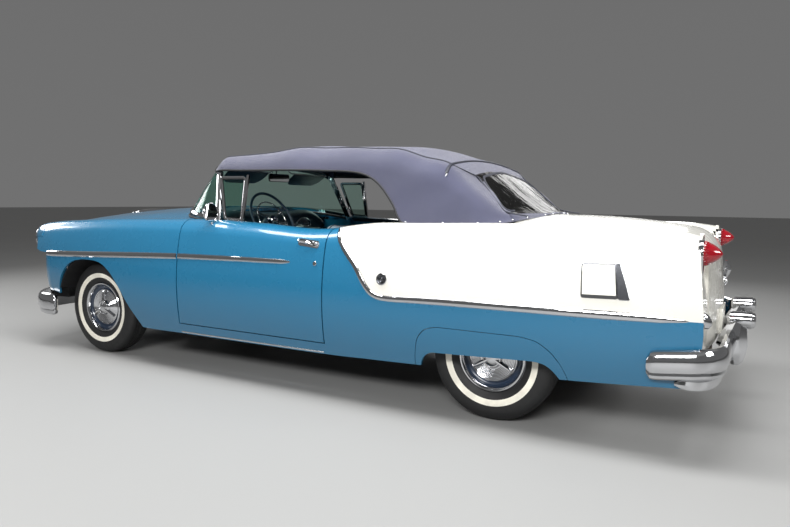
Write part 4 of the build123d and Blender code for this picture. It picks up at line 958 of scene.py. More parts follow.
def make_quarter_shell():
    """The quarter panel's skin, open at the skirt, the tail, the trunk lid and the deck."""
    item = shell("quarter", side_grid(TAIL_EDGE_X, DOOR_REAR_SEAM_X - 4), WALL, BLUE, (0, 1, 0))
    tail = TAIL_FACE + [(-2600, 200), (-2600, 1120)]
    lid = prism([(-2600, 500), (-2600, LID_HALF + PANEL_GAP), (LID_FRONT_X, LID_HALF + PANEL_GAP),
                 (LID_FRONT_X, 500)],
                "Z", 600, 1200)
    shelf = prism([(LID_FRONT_X - 1, 500), (LID_FRONT_X - 1, LID_HALF), (CANOPY_SHELF_X, LID_HALF),
                   (CANOPY_SHELF_X, 500)], "Z", 600, 1200)
    return cut(item, [side_cutter(SKIRT_SEAM_LINE), side_cutter(tail), lid, shelf])


def make_skirt():
    """The skirt over the rear wheel, cut from the same skin."""
    item = shell("skirt", side_grid(-1834, -974), WALL, BLUE, (0, 1, 0))
    middle = (SKIRT_SEAM[0][0] + SKIRT_SEAM[-1][0]) / 2
    outline = []
    for x, z in SKIRT_SEAM_LINE:
        outline.append((middle + (x - middle) * 0.993, z - (3 if z > 400 else 0)))
    cut(item, [side_cutter(outline)], "INTERSECT")
    return cut(item, [side_cutter(SKIRT_OPENING_LINE)])


def quarter_tail():
    """The rear face of the quarter panel, from the skin in to the trunk lid."""
    rows = []
    for z in np.linspace(348, 1040, 50):
        face_x = float(np.interp(z, *zip(*sorted((b, a) for a, b in TAIL_FACE))))
        outer = skin_y(face_x, min(z, 1000))
        if z >= 1000:
            outer = float(np.interp(z, (1000, 1040), (outer, 700)))
        rows.append([(face_x, y, z) for y in np.linspace(LID_HALF + PANEL_GAP, outer - 1, 12)])
    return shell("quarter_tail", rows, WALL, WHITE, (-1, 0, 0))


def cheek():
    """The inner wall of the quarter panel beside the trunk lid."""
    y = LID_HALF + PANEL_GAP
    outline = ((-2390, 572), (-1604, 980), (-1604, 1066), (-2330, 1006), (-2390, 880))
    rows = [[(x, v, z) for x, z in outline] for v in (y, y + 10)]
    return loft_block("cheek", rows, WHITE, sharp_angle=None)


# Panels that span the car
CROWN_ROWS = {"hood": [flat_row(r) for r in HOOD_CROWN], "cowl": [flat_row(r) for r in COWL_CROWN],
              "shelf": [flat_row(r) for r in SHELF_CROWN]}


def inner_edge(x):
    """(y, z) of the side's inner edge, where a spanning panel begins."""
    values = smooth_columns(SIDE_ROWS, x)
    return values[8], values[9]


def crown_section(rows, x, gap):
    """Points of a spanning panel at x, from the left edge to the right one."""
    centre_z, drop = smooth_columns(rows, x)
    half, edge_z = inner_edge(min(x, 2400))
    points, _ = arc_through((half - gap, edge_z - drop), (0, centre_z), (gap - half, edge_z - drop), 41)
    return [(x, y, z) for y, z in points]


def crowned(name, rows, x_low, x_high, gap, material, thickness=SKIN):
    """A spanning panel between two x, with points about 20 mm apart."""
    grid = [crown_section(rows, x, gap) for x in np.linspace(x_low, x_high, int((x_high - x_low) / 20.0))]
    return shell(name, grid, thickness, material)


def hood_bulge(x, y):
    """A raised spine down the middle of the hood, and a shallow valley on each side of it."""
    front = float(np.clip((2470 - x) / 350, 0, 1)) * float(np.clip((x - 1139) / 500, 0, 1))
    spine = 7.0 * np.exp(-(y / 62.0) ** 2)
    return front * (spine - 6.0 * np.exp(-((abs(y) - 330.0) / 120.0) ** 2))


def make_hood():
    """The hood, with points set closer where it rolls down at the nose."""
    x_low = COWL_SEAM_X + PANEL_GAP / 2
    xs = list(np.linspace(x_low, 2380, 62)) + list(np.linspace(2396, 2523, 18))
    grid = [[(x, y, z + hood_bulge(px, y)) for px, y, z in crown_section(CROWN_ROWS["hood"], x, PANEL_GAP)]
            for x in xs]
    return shell("hood_skin", grid, SKIN, BLUE)


def lid_grid():
    """Outer points of the trunk lid: across the car, then from its front edge down to its lower edge."""
    rows = [flat_row(r) for r in LID_SECTIONS] + [flat_row((-r[0],) + r[1:]) for r in LID_SECTIONS[:-1]]
    grid = []
    for y in np.linspace(-632, 632, 65):
        front, middle, bend, tail, lower = smooth_columns(rows, y).reshape(5, 2)
        deck, leaving = arc_through(front, middle, bend, 30)
        corner, leaving = arc_from(bend, leaving, tail, 12)
        down = np.linspace(tail, lower, 14)
        line = np.concatenate([deck, corner[1:], down[1:]])
        grid.append([(x, y, z) for x, z in line])
    return np.array(grid)


def make_lid():
    """The trunk lid, from the deck down to its handle."""
    return shell("lid_skin", lid_grid(), SKIN, WHITE, (-0.3, 0, 1))


def make_tail_panel():
    """The panel below the trunk lid, with the pad and holes for a plate."""
    rows = []
    for z in np.linspace(470, 632, 10):
        rows.append([(np.interp(abs(y), (0, 350, 640), (-2433, -2421, -2395)), y, z)
                     for y in np.linspace(-639, 639, 41)])
    panel = shell("tail_skin", rows, 18, WHITE, (-1, 0, 0))
    recess = loft_block("plate_pad", [[(x, y, z) for y,
                                       z in rounded([(-160, 472), (160, 472), (160, 612), (-160, 612)], 14)]
                                      for x in (-2420, -2440, -2446)], WHITE)
    holes = [lathe("cutter", [(0, 0.01), (0, 3.2), (60, 3.2), (60, 0.01)], (-2470, y, z), (1, 0, 0), None,
                   16)
             for y in (-89, 89) for z in (480, 600)]
    cut(recess, holes)
    return join([panel, recess], "tail_panel_skin")


GRILLE_OUTLINE = [(-560, 780), (-560, 560), (560, 560), (560, 780)]
GRILLE_ROUNDING = [90, 70, 70, 90]
PARKING_LAMP = (2448, 470, 670)


def make_nose_panel():
    """The panel below the hood, with the grille's opening."""
    rows = []
    for z in np.linspace(450, 850, 26):
        rows.append([(np.interp(abs(y), (0, 560, 640), (2452, 2440, 2392)), y, z)
                     for y in np.linspace(-640, 640, 61)])
    panel = shell("nose_skin", rows, 18, BLUE, (1, 0, 0))
    opening = [tuple(p) for p in rounded(GRILLE_OUTLINE, GRILLE_ROUNDING)]
    return cut(panel, [prism(opening, "X", 2300, 2600)])


# Wheels. The tread's grooves are given by their distance from the middle
TREAD_STEPS = 120
TREAD_ZIGZAG = 2.2
TREAD_GROOVES = (0.0, 19.0, 38.0)
GROOVE_HALF, GROOVE_DEPTH = 3.0, 7.0
WHITEWALL_RADII = (226.0, 262.0)
# Radii of the painted reflection band on the wheel cover's dish.
COVER_REFLECTION_BAND_RADII = (139.0, 165.0)


def tyre_profile():
    """Half the tyre's outline as (distance outwards, radius), from the tread's middle to the bead."""
    half = TYRE_WIDTH / 2
    return [(0, 345.0), (half * 0.30, 344.6), (half * 0.52, 343.4), (half * 0.62, 341.0),
            (half * 0.74, 335.5),
            (half * 0.84, 327.0), (half * 0.92, 314.0), (half * 0.975, 298.0), (half, 276.0),
            (half * 0.99, 255.0),
            (half * 0.95, 232.0), (half * 0.87, 211.0), (half * 0.80, 199.0), (half * 0.745, RIM_RADIUS)]


def make_tyre(centre, side):
    """A tyre with a zigzag tread and its white band on both walls."""
    outline = smooth_path(tyre_profile(), 5.0)
    inside = [(TYRE_WIDTH * 0.30, 188.0), (TYRE_WIDTH * 0.26, 214.0), (0, 318.0),
              (-TYRE_WIDTH * 0.26, 214.0),
              (-TYRE_WIDTH * 0.30, 188.0)]
    rows = []
    for k in range(TREAD_STEPS):
        angle = 2 * pi * k / TREAD_STEPS
        shift = TREAD_ZIGZAG if k % 2 else -TREAD_ZIGZAG
        line = []
        for a, r in outline:
            in_groove = a < 50 and any(abs(a - g - shift * (g > 0)) < GROOVE_HALF for g in TREAD_GROOVES)
            line.append((a, r - (GROOVE_DEPTH if in_groove else 0.0)))
        ring = [(-a, r) for a, r in reversed(line[1:])] + line + inside
        rows.append([(centre[0] + r * sin(angle), centre[1] + a * side, centre[2] + r * cos(angle)) for a,
                     r in ring])
    item = make_solid("tyre", rows,
                      grid_faces(TREAD_STEPS, len(rows[0]), close_rows=True, close_columns=True),
                      TYRE_RUBBER, None)
    paint_ring(item, WHITEWALL, centre, WHITEWALL_RADII, lambda outwards: abs(outwards) > 78)
    soften(item, 38)
    return item


def paint_ring(item, material, centre, radii, is_outside):
    """Gives a second material to the faces between two radii, where their distance outwards fits."""
    item.data.materials.append(material)
    for face in item.data.polygons:
        out = np.array(face.center) / MM - np.array(centre)
        if radii[0] < sqrt(out[0] ** 2 + out[2] ** 2) < radii[1] and is_outside(out[1]):
            face.material_index = 1


def ridged(inner, outer, count, height, base_inner, base_outer):
    """Concentric ridges between two radii on a sloping base, as (outwards, radius) points."""
    points = []
    for k in range(count):
        for share, lift in ((0.0, 0.0), (0.25, 0.75), (0.5, 1.0), (0.75, 0.75)):
            t = (k + share) / count
            points.append((base_outer + (base_inner - base_outer) * t + height * lift,
                           outer + (inner - outer) * t))
    return points


def make_wheel(centre, side):
    """The rim, and the full wheel cover with its dished ring, ridged disc, hub and three-bar centre, with a
    dark blue band on the dish that is a painted reflection of the blue body.
    """
    half = RIM_WIDTH / 2
    radius = RIM_RADIUS - 0.3
    rim = [(half - 10, radius), (half - 2, radius), (half, radius - 3), (half - 4, radius - 9),
           (half - 18, radius - 13),
           (-half + 18, radius - 13), (-half + 4, radius - 9), (-half, radius - 3), (-half + 2, radius),
           (-half + 10, radius), (-half + 16, radius - 3), (half - 16, radius - 3)]
    disc = [(half - 42, 172), (half - 46, 128), (half - 44, 20), (half - 52, 20), (half - 54, 130),
            (half - 50, 174)]
    drum = [(-36, 30), (-36, 132), (-half + 6, 136), (-half + 6, 30)]

    def turned(points, material, name, segments=96):
        outline = [(a * side, r) for a, r in points]
        return lathe(name, outline, centre, (0, 1, 0), material, segments, sharp_angle=28.0)

    bead = [(half + 1, 186), (half + 5, 182), (half + 4, 175), (half - 4, 169), (half - 14, 166)]
    band = [(half - 20, 164), (half - 28, 158), (half - 33, 150), (half - 34, 142)]
    step = [(half - 30, 138), (half - 22, 135), (half - 19, 131), (half - 21, 127)]
    ridges = ridged(62, 124, 8, 2.6, half - 12, half - 26)
    hub = [(half - 11, 59), (half - 8, 56), (half - 2, 54), (half + 3, 50), (half + 4, 46), (half + 1, 44),
           (half - 2, 40), (half + 3, 34), (half + 8, 24), (half + 10, 12), (half + 10.5, 0.01)]
    back = [(half - 2, 0.01), (half - 12, 30), (half - 20, 60), (half - 40, 150), (half - 18, 168),
            (half - 1, 182)]
    pieces = [turned(rim, DARK_CHROME, "rim"), turned(disc, BLACK_PAINT, "disc"),
              turned(drum, STEEL, "drum", 48),
              turned(bead + band + step + ridges + hub + back, CHROME, "cover", 120)]
    # Painted reflection: the dark blue band between these radii stands for the body's blue reflected in the
    # dished cover.
    paint_ring(pieces[-1], DARK_BLUE_AND_PAINTED_REFLECTION, centre, COVER_REFLECTION_BAND_RADII, lambda outwards: outwards * side > half - 36)
    for k in range(3):
        angle = radians(90 + 120 * k)
        direction = np.array([cos(angle), 0, sin(angle)])
        across = np.array([-sin(angle), 0, cos(angle)])
        rows = []
        for r, width, lift in ((20, 13, 9), (50, 12, 8), (84, 10, 5), (112, 7, 1), (124, 4, -3)):
            base = np.array(centre) + direction * r + np.array([0, (half - 14) * side, 0])
            up = np.array([0, side, 0])
            rows.append([base + across * width * a + up * b for a, b in
                         ((-1, -4), (-1, 10 + lift * 0.3), (-0.35, 14 + lift), (0.35, 14 + lift),
                          (1, 10 + lift * 0.3), (1, -4))])
        pieces.append(loft_block("spoke", rows, CHROME, sharp_angle=25))
    return join(pieces, "wheel_cover")


# Chrome and lamps
MOULDING_FOOT = 4.0


def moulding(name, line, half_height, depth, material=None, scale=None, step=12.0):
    """A crowned strip on the body's side along points (x, z), with its foot sunk so that it touches."""
    foot = MOULDING_FOOT
    points, normals = [], []
    for x, z in smooth_path(line, step):
        point, normal = skin_frame(x, z)
        points.append(point - normal * foot)
        normals.append(normal)
    profile = [(-half_height, 0), (-half_height, foot), (-half_height * 0.72, foot + depth * 0.7),
               (-half_height * 0.3, foot + depth), (half_height * 0.3, foot + depth),
               (half_height * 0.72, foot + depth * 0.7), (half_height, foot), (half_height, 0)]
    factors = None
    if scale:
        shares = np.linspace(0, 1, len(points))
        factors = [float(np.interp(s, *zip(*scale))) for s in shares]
    return sweep(name, points, profile, material or CHROME, up=np.array(normals), scale=factors,
                 sharp_angle=24)


def build_mouldings():
    """The bright line along the fender, door and quarter panel, and the one on the sill."""
    front = moulding("moulding", [(2256, 736), (2100, 741), (1800, 752), (1200, 776), (806, 790)], 21, 9,
                     scale=[(0, 0.8), (0.04, 1.05), (0.5, 1.0), (1, 0.92)])
    both_sides(front, "fender_moulding", "car", "chrome")
    door = moulding("moulding", [(790, 791), (300, 799), (-143, 803)], 19, 9,
                    scale=[(0, 1.0), (0.93, 0.78), (1, 0.35)])
    both_sides(door, "door_moulding", "door_SIDE", "chrome")
    rear = moulding("moulding", QUARTER_LINE[:-1] + [(-2372, 656)], 19, 9,
                    scale=[(0, 0.5), (0.06, 0.75), (0.3, 0.9), (0.82, 1.12), (0.93, 0.9), (1, 0.12)])
    both_sides(rear, "quarter_moulding", "car", "chrome")
    low = [(x, skin_low(x) + 10) for x in np.linspace(-376, 790, 20)]
    both_sides(moulding("moulding", low, 5, 3, material=SATIN, step=40), "sill_moulding", "car", "chrome")


def ring_on_skin(name, place, profile, material, segments=48):
    """A turned badge or lock on the body's side at (x, z). The profile is (outwards, radius)."""
    point, normal = skin_frame(*place)
    return lathe(name, profile, point, normal, material, segments, sharp_angle=25)


def plate_on_skin(name, corners, rise, material, radius):
    """A plate that follows the body's side inside an outline of (x, z)."""
    top, bottom = [], []
    for x, z in rounded(corners, radius):
        point, normal = skin_frame(float(x), float(z))
        bottom.append(point - normal * 3)
        top.append(point + normal * rise)
    return loft_block(name, [bottom, top], material, sharp_angle=30)


BADGE_AT = (-783, 745)
DOOR_LOCK_AT = (-326, 804)
HANDLE_FRONT_X, HANDLE_LENGTH = -186, 150
FUEL_DOOR = [(-1860, 890), (-1868, 734), (-2030, 737), (-2012, 895)]
FUEL_WEDGE = [(-2014, 896), (-2034, 898), (-2086, 734), (-2036, 734)]


def frame_line(corners, radius):
    """The edge of an outline of (x, z) on the body's side."""
    path = []
    for x, z in rounded(corners, radius):
        point, normal = skin_frame(float(x), float(z))
        path.append(point + normal * 1.0)
    return path


def build_side_trim():
    """The quarter panel's badge, the fuel door, and the door's lock and handle."""
    badge = [(-3, 31), (3, 31), (6, 29), (6.5, 26), (4, 24), (3, 20), (5, 18), (5, 15), (3, 13), (4, 8),
             (7, 5), (8, 0.01)]
    badge = badge + [(-3, 0.01)]
    both_sides(ring_on_skin("badge", BADGE_AT, badge, DARK_CHROME), "quarter_badge", "car", "chrome")
    rim = ring_on_skin("badge_rim", BADGE_AT, [(0, 33), (6, 33), (8, 31), (8, 29), (5, 28), (0, 28)],
                       CHROME)
    both_sides(rim, "quarter_badge_rim", "car", "chrome")
    frame = tube("fuel_frame", frame_line(FUEL_DOOR, 10.0), 3.2, DARK_CHROME, 10, closed=True, up=(0, 1, 0))
    door = plate_on_skin("fuel_door", [(-1865, 885), (-1872, 746), (-2025, 749), (-2009, 890)], 3.0, WHITE,
                         8)
    sill = plate_on_skin("fuel_sill", [(-1868, 748), (-1868, 734), (-2034, 737), (-2032, 751)], 7.0, CHROME,
                         4)
    wedge = plate_on_skin("fuel_wedge", FUEL_WEDGE, 5.0, DARK_CHROME, 9)
    rim = tube("wedge_rim", frame_line(FUEL_WEDGE, 9.0), 3.0, CHROME, 8, closed=True, up=(0, 1, 0))
    attach(join([frame, sill, wedge, rim], "fuel_door_trim"), "car", "chrome")
    attach(door, "car", "white_paint")
    lock = [(-3, 0.01), (-3, 13), (4, 13), (6, 11), (6, 7), (3, 6), (3, 0.01)]
    both_sides(ring_on_skin("lock", DOOR_LOCK_AT, lock, CHROME, 32), "door_lock", "door_SIDE", "chrome")
    grip, widths = [], []
    for t in np.linspace(0, 1, 22):
        point, normal = skin_frame(float(HANDLE_FRONT_X - HANDLE_LENGTH * t), 929 - 17 * t)
        lift = 24 * sin(pi * min(max((t + 0.02) / 0.72, 0), 1)) ** 0.6 if t < 0.7 else 0
        grip.append(point + normal * (lift + 3))
        widths.append(float(np.interp(t, (0, 0.1, 0.6, 0.8, 1), (0.6, 1, 0.9, 1.35, 0.9))))
    pull = sweep("pull", grip, [(-10, -3), (-8, 3), (0, 6), (8, 3), (10, -3)], CHROME, up=(0, 1, 0),
                 scale=widths, sharp_angle=20)
    point, normal = skin_frame(-316, 913)
    button = lathe("button", [(0, 16), (9, 16), (12, 13), (12, 9), (10, 8), (14, 6), (15, 0.01), (0, 0.01)],
                   point, normal,
                   CHROME, 32, sharp_angle=25)
    cup = plate_on_skin("cup", [(-190, 945), (-190, 905), (-340, 890), (-340, 934)], 1.5, SATIN, 16)
    both_sides(join([pull, button, cup], "handle"), "door_handle", "door_SIDE", "chrome")


def build_mirror():
    """The round door mirror on its curved stem."""
    head_at = (536, 905, 1084)
    bowl = [(0, 58), (0, 61), (4, 63.5), (10, 63), (24, 52), (36, 34), (43, 14), (44.5, 0.01), (20, 0.01),
            (2, 30), (2, 57)]
    head = lathe("head", bowl, head_at, (1, 0, 0), CHROME, 56)
    glass = lathe("glass", [(1.5, 58), (3, 58), (3, 0.01), (1.0, 0.01)], head_at, (1, 0, 0), MIRROR, 56)
    bend = smooth_path([(548, 882, 1000), (548, 890, 1020), (549, 900, 1050), (552, 904, 1072)], 5)
    stem = tube("stem", bend, 6, CHROME, up=(1, 0, 0))
    base = [(0, 0.01), (0, 22), (5, 20), (9, 14), (12, 8), (12, 0.01)]
    foot = lathe("foot", base, (548, 878, 994), (0.0, 0.35, 0.94), CHROME, 32)
    attach(join([head, glass, stem, foot], "mirror_parts"), "door_left", "chrome", "door_mirror")


TAIL_LAMP = (-2368, 829, 956)
TAIL_LAMP_RADIUS, TAIL_LAMP_LENGTH = 56.0, 86.0


def bullet_radius(along):
    """The tail lens's radius at this distance from its foot."""
    return TAIL_LAMP_RADIUS * max(1 - (along / TAIL_LAMP_LENGTH) ** 1.7, 0.0) ** 0.72


def build_tail_lamps():
    """A pointed red lens in a bezel whose foot runs down the fin's end."""
    x, y, z = TAIL_LAMP
    profile = [(-8, 0.01), (-8, TAIL_LAMP_RADIUS - 2)]
    profile += [(a, bullet_radius(a)) for a in np.linspace(0, TAIL_LAMP_LENGTH - 0.5, 24)]
    profile += [(TAIL_LAMP_LENGTH, 0.01)]
    pieces = [lathe("lens", profile, TAIL_LAMP, (-1, 0, 0), RED_LENS, 64, sharp_angle=60)]
    for k in range(28):
        angle = 2 * pi * k / 28
        line = [(x - a, y + (bullet_radius(a) + 0.4) * sin(angle),
                 z + (bullet_radius(a) + 0.4) * cos(angle))
                for a in np.linspace(2, 26, 5)]
        pieces.append(tube("rib", line, 1.9, RED_LENS, 6, up=(0, sin(angle), cos(angle))))
    both_sides(join(pieces, "tail_lens"), "tail_lens", "car", "red_lens", ("tail_lamps",))
    outline = []
    for k in range(44):
        angle = 2 * pi * k / 44
        across, up = (TAIL_LAMP_RADIUS + 5) * sin(angle), (TAIL_LAMP_RADIUS + 5) * cos(angle)
        if up < 0:
            across, up = across * (1 - 0.22 * (up / 61.0) ** 2), up * 1.62
        outline.append((across, up))
    rows = []
    for step, grow in ((-14, 1.00), (0, 1.03), (7, 1.0), (9, 0.93), (4, 0.90)):
        rows.append([(x - step, y + a * grow, z + u * grow) for a, u in outline])
    both_sides(loft_block("bezel", rows, CHROME, sharp_angle=25), "tail_bezel", "car", "chrome")
    rows = []
    for along, width, height in ((0, 22, 30), (8, 25, 36), (18, 22, 34), (28, 15, 24), (36, 6, 10)):
        rows.append([(-2392 - along, 912 - along * 0.5 + width * sin(t),
                      664 + height * cos(t) - along * 0.4)
                     for t in np.linspace(0, 2 * pi, 25)[:-1]])
    both_sides(loft_block("tip", rows, CHROME, sharp_angle=30), "moulding_tip", "car", "chrome")


HEADLAMP = (2484, 744, 848)


def build_headlamps():
    """Headlamps with fluted lenses in bright rims."""
    bezel = [(-14, 82), (-6, 92), (6, 95), (16, 94), (22, 92), (24, 89), (20, 86), (12, 84), (6, 83)]
    rim = lathe("rim", bezel, HEADLAMP, (1, 0.02, 0), CHROME, 72)
    glass = [(0, 0.01), (0, 84), (14, 84), (22, 72), (29, 48), (32, 22), (33, 0.01)]
    item = lathe("lens", glass, HEADLAMP, (1, 0.02, 0), CLEAR_LENS, 56)
    flutes = []
    for y in range(-60, 61, 12):
        half = sqrt(76.0 ** 2 - y ** 2)
        line = []
        for z in np.linspace(-half, half, 9):
            swell = float(np.interp(sqrt(y * y + z * z), (0, 22, 48, 72, 86), (33, 32, 29, 22, 14)))
            line.append((HEADLAMP[0] + swell - 0.5, HEADLAMP[1] + y, HEADLAMP[2] + z))
        flutes.append(tube("flute", line, 1.6, CLEAR_LENS, 6, up=(1, 0, 0)))
    both_sides(join([item] + flutes, "headlamp_lens"), "headlamp_lens", "car", "lens", ("headlamps",))
    both_sides(rim, "headlamp_rim", "car", "chrome")


def build_front_end():
    """The grille's bars in their opening with a thick surround, and the parking lamps."""
    outline = [(2451, y, z) for y, z in rounded(GRILLE_OUTLINE, GRILLE_ROUNDING, steps=8)]
    pieces = [tube("surround", outline, 15, CHROME, 14, closed=True, up=(1, 0, 0))]
    for z, thick in ((612, 9), (728, 9)):
        line = [(2452 + 6 * cos(y / 560 * 1.3), y, z) for y in np.linspace(-545, 545, 41)]
        pieces.append(sweep("bar", line, circle(thick, 12, 1.5), CHROME))
    line = [(2458 + 22 * cos(y / 560 * 1.4), y, 670) for y in np.linspace(-552, 552, 51)]
    pieces.append(sweep("bar", line, circle(17, 18, 1.55), CHROME))
    for y in range(-500, 501, 50):
        pieces.append(sweep("upright", [(2444, y, 563), (2444, y, 777)],
                            [(-2, -9), (2, -9), (2, 9), (-2, 9)], SATIN,
                            up=(1, 0, 0)))
    attach(join(pieces, "grille_bars"), "car", "chrome", "grille")
    corners = [(2425, y, z) for y in (-575, 575) for z in (545, 795)]
    back = make_object("grille_back", corners, [(0, 1, 3, 2)], [PIPING])
    step = back.modifiers.new("thick", "SOLIDIFY")
    step.thickness, step.offset = 6 * MM, 0
    bake(back)
    attach(back, "car", "black_paint")
    bulb = [(0, 0.01), (0, 34), (10, 36), (20, 30), (28, 16), (31, 0.01)]
    rim = [(-4, 36), (8, 42), (16, 41), (18, 37), (10, 35)]
    lamp = lathe("lamp", bulb, PARKING_LAMP, (1, 0, 0), PALE_LENS, 40)
    bezel = lathe("rim", rim, PARKING_LAMP, (1, 0, 0), CHROME, 48)
    both_sides(lamp, "parking_lens", "car", "lens")
    both_sides(bezel, "parking_rim", "car", "chrome")


def bumper_path(points, radii):
    """A bumper's route seen from above, from the left end's (x, y) points round to the right end."""
    whole = points + [(x, -y) for x, y in reversed(points)]
    flat = rounded(whole, [0] + radii + radii[::-1] + [0], closed=False, steps=10)
    return smooth_path(flat, 14.0)


def bumper_bar(name, path, centre_z, profile, ends, lifts=((0, 0),)):
    """A bar of (outwards, height) points along a route, closing towards its ends. lifts: (x, rise)."""
    path = np.array([(x, y, centre_z) for x, y in path])
    outward = np.cross((0, 0, 1), unit(np.gradient(path, axis=0)))
    middle = np.array([0, 0, centre_z])
    if ((path - middle) * outward).sum() < 0:
        outward = -outward
    length = np.concatenate([[0], np.cumsum(np.linalg.norm(np.diff(path, axis=0), axis=1))])
    rows = []
    for i, p in enumerate(path):
        near = min(length[i], length[-1] - length[i])
        scale = float(np.interp(near, *zip(*ends)))
        rise = float(np.interp(p[0], *zip(*lifts)))
        rows.append([p + outward[i] * a * (0.4 + 0.6 * scale) + np.array([0, 0, h * scale + rise]) for a,
                     h in profile])
    return loft_block(name, rows, CHROME, sharp_angle=26)


BAR_PROFILE = [(-14, 66), (4, 70), (16, 63), (26, 46), (31, 22), (32, -4), (28, -24), (19, -36), (21, -48),
               (16, -62),
               (4, -70), (-14, -66)]
LOWER_PROFILE = [(-10, 30), (10, 34), (20, 20), (22, 0), (14, -22), (2, -28), (-10, -24)]
BAR_ENDS = [(0, 0.55), (5, 0.76), (14, 0.9), (32, 0.98), (60, 1.0)]


REAR_GUARD_Y, FRONT_GUARD_Y = 300, 330


def build_bumpers():
    """Both bumpers with their guards, and the rear one's lower bar."""
    route = bumper_path([(-2172, 968), (-2405, 968), (-2472, 850), (-2494, 250)], [120, 160, 900])
    bar = bumper_bar("bar", route, 455, BAR_PROFILE, BAR_ENDS, [(-2494, 12), (-2400, 18), (-2172, -8)])
    lower_route = bumper_path([(-2290, 940), (-2400, 930), (-2452, 800), (-2468, 200)], [95, 110, 600])
    lower = bumper_bar("lower", lower_route, 370, LOWER_PROFILE, [(0, 0.3), (20, 0.7), (60, 1.0)])
    pieces = [bar, lower]
    for y in (REAR_GUARD_Y, -REAR_GUARD_Y):
        pieces += rear_guard(y)
    attach(join(pieces, "rear_bumper_parts"), "car", "chrome", "rear_bumper")
    route = bumper_path([(2120, 935), (2330, 925), (2520, 760), (2562, 200)], [240, 140, 700])
    bar = bumper_bar("bar", route, 345, [(a, h * 1.18) for a, h in BAR_PROFILE], BAR_ENDS)
    pieces = [bar]
    for y in (FRONT_GUARD_Y, -FRONT_GUARD_Y):
        rows = []
        for z, depth, width in ((262, 10, 26), (290, 30, 40), (350, 40, 46), (410, 38, 44), (450, 24, 34),
                                (470, 6, 18)):
            rows.append([(2560 + depth * b, y + width * a, z) for a, b in
                         ((-1, -0.6), (-1, 0.2), (-0.7, 0.75), (-0.2, 1.05), (0.2, 1.05), (0.7, 0.75),
                          (1, 0.2), (1, -0.6))])
        pieces.append(loft_block("guard", rows, CHROME, sharp_angle=30))
    attach(join(pieces, "front_bumper_parts"), "car", "chrome", "front_bumper")


REAR_GUARD_ROWS = [
    # z, front x, rear x, half width
    (350, -2502, -2536, 24), (372, -2490, -2556, 38), (420, -2470, -2568, 52), (455, -2425, -2572, 58),
    (500, -2438, -2568, 56), (560, -2474, -2562, 46), (600, -2500, -2558, 38), (624, -2524, -2550, 20),
]


def rear_guard(y):
    """A deep bevelled guard that leans back, with a round pod at its head."""
    rows = []
    for z, front, rear, width in REAR_GUARD_ROWS:
        rows.append([(front + (rear - front) * a, y + width * b, z) for a, b in
                     ((0, -0.45), (0, 0.45), (0.35, 1.0), (0.72, 0.9), (1, 0.32), (1, -0.32), (0.72, -0.9),
                      (0.35, -1.0))])
    post = loft_block("guard", rows, CHROME, sharp_angle=18)
    pod = lathe("pod", [(-76, 0.01), (-76, 30), (-64, 40), (-20, 44), (20, 45), (34, 45), (38, 41),
                        (46, 40), (52, 34), (55, 22),
                        (56, 0.01)], (-2548, y, 586), (-1, 0, 0), CHROME, 44, sharp_angle=25)
    return [post, pod]


SPEAR_SECTION = ((-1, 0), (-1, 0.35), (-0.4, 0.9), (0, 1), (0.4, 0.9), (1, 0.35), (1, 0))
HANDLE_SECTION = ((-1, -0.4), (-0.9, 0.4), (-0.3, 1), (0.3, 1), (0.9, 0.4), (1, -0.4))


def build_ornaments():
    """The spear on the hood, the trunk's handle and the generic trim beside it."""
    rows = []
    for x, width, height in ((2470, 3, 3), (2420, 9, 12), (2340, 12, 22), (2240, 10, 26), (2120, 7, 18),
                             (1980, 4, 8), (1900, 2, 3)):
        top = crown_height(x)
        rows.append([(x, width * a, top - 5 + (height + 5) * b) for a, b in SPEAR_SECTION])
    spear = loft_block("spear", rows, CHROME, sharp_angle=30)
    wing = []
    for side in (RIGHT, LEFT):
        line = [(2330 - 0.9 * y, side * y, crown_height(2330 - 0.9 * y) + 16 - y * 0.06)
                for y in (4, 30, 60, 90, 112)]
        wing.append(sweep("wing", line, [(-26, 0), (-10, 4), (0, 5), (12, 2), (16, 0), (0, -3)], CHROME,
                          scale=[1.0, 0.85, 0.65, 0.4, 0.12], sharp_angle=30))
    attach(join([spear] + wing, "hood_ornament"), "hood", "chrome")
    rows = []
    for z, depth, width in ((770, 10, 12), (790, 20, 26), (815, 30, 34), (840, 22, 26), (866, 10, 12)):
        x = -2440 + (z - 770) * 0.02
        rows.append([(x - depth * b, width * a, z) for a, b in HANDLE_SECTION])
    grip = loft_block("handle", rows, CHROME, sharp_angle=30)
    ys = np.linspace(-170, 170, 25)
    line = [(-2440 - 4 * cos(y / 180), y, 818 + 10 * cos(y / 120)) for y in ys]
    scale = [float(np.interp(abs(y), (0, 120, 170), (1.2, 0.9, 0.2))) for y in ys]
    spread = sweep("spread", line, circle(6, 10, 1.4), CHROME, scale=scale)
    attach(join([grip, spread], "trunk_handle"), "trunk_lid", "chrome")


def crown_height(x):
    """Height of the hood's middle at x."""
    centre_z, _ = smooth_columns(CROWN_ROWS["hood"], x)
    return centre_z + hood_bulge(x, 0)


# Raised top
TOP_ROWS = [flat_row(r) for r in TOP_STATIONS]
LOW_EDGE = smooth_path([(780, 1358)] + list(SIDE_OPENING[1:]) + [(-1100, 1046)], 10.0)
BOWS_X = (690, 37, -330, -688, -1030)
REAR_BOW_X = -1030.0
SEAM_Y = 602.0
WINDOW_ROUNDING = [80, 0, 80, 60, 60]


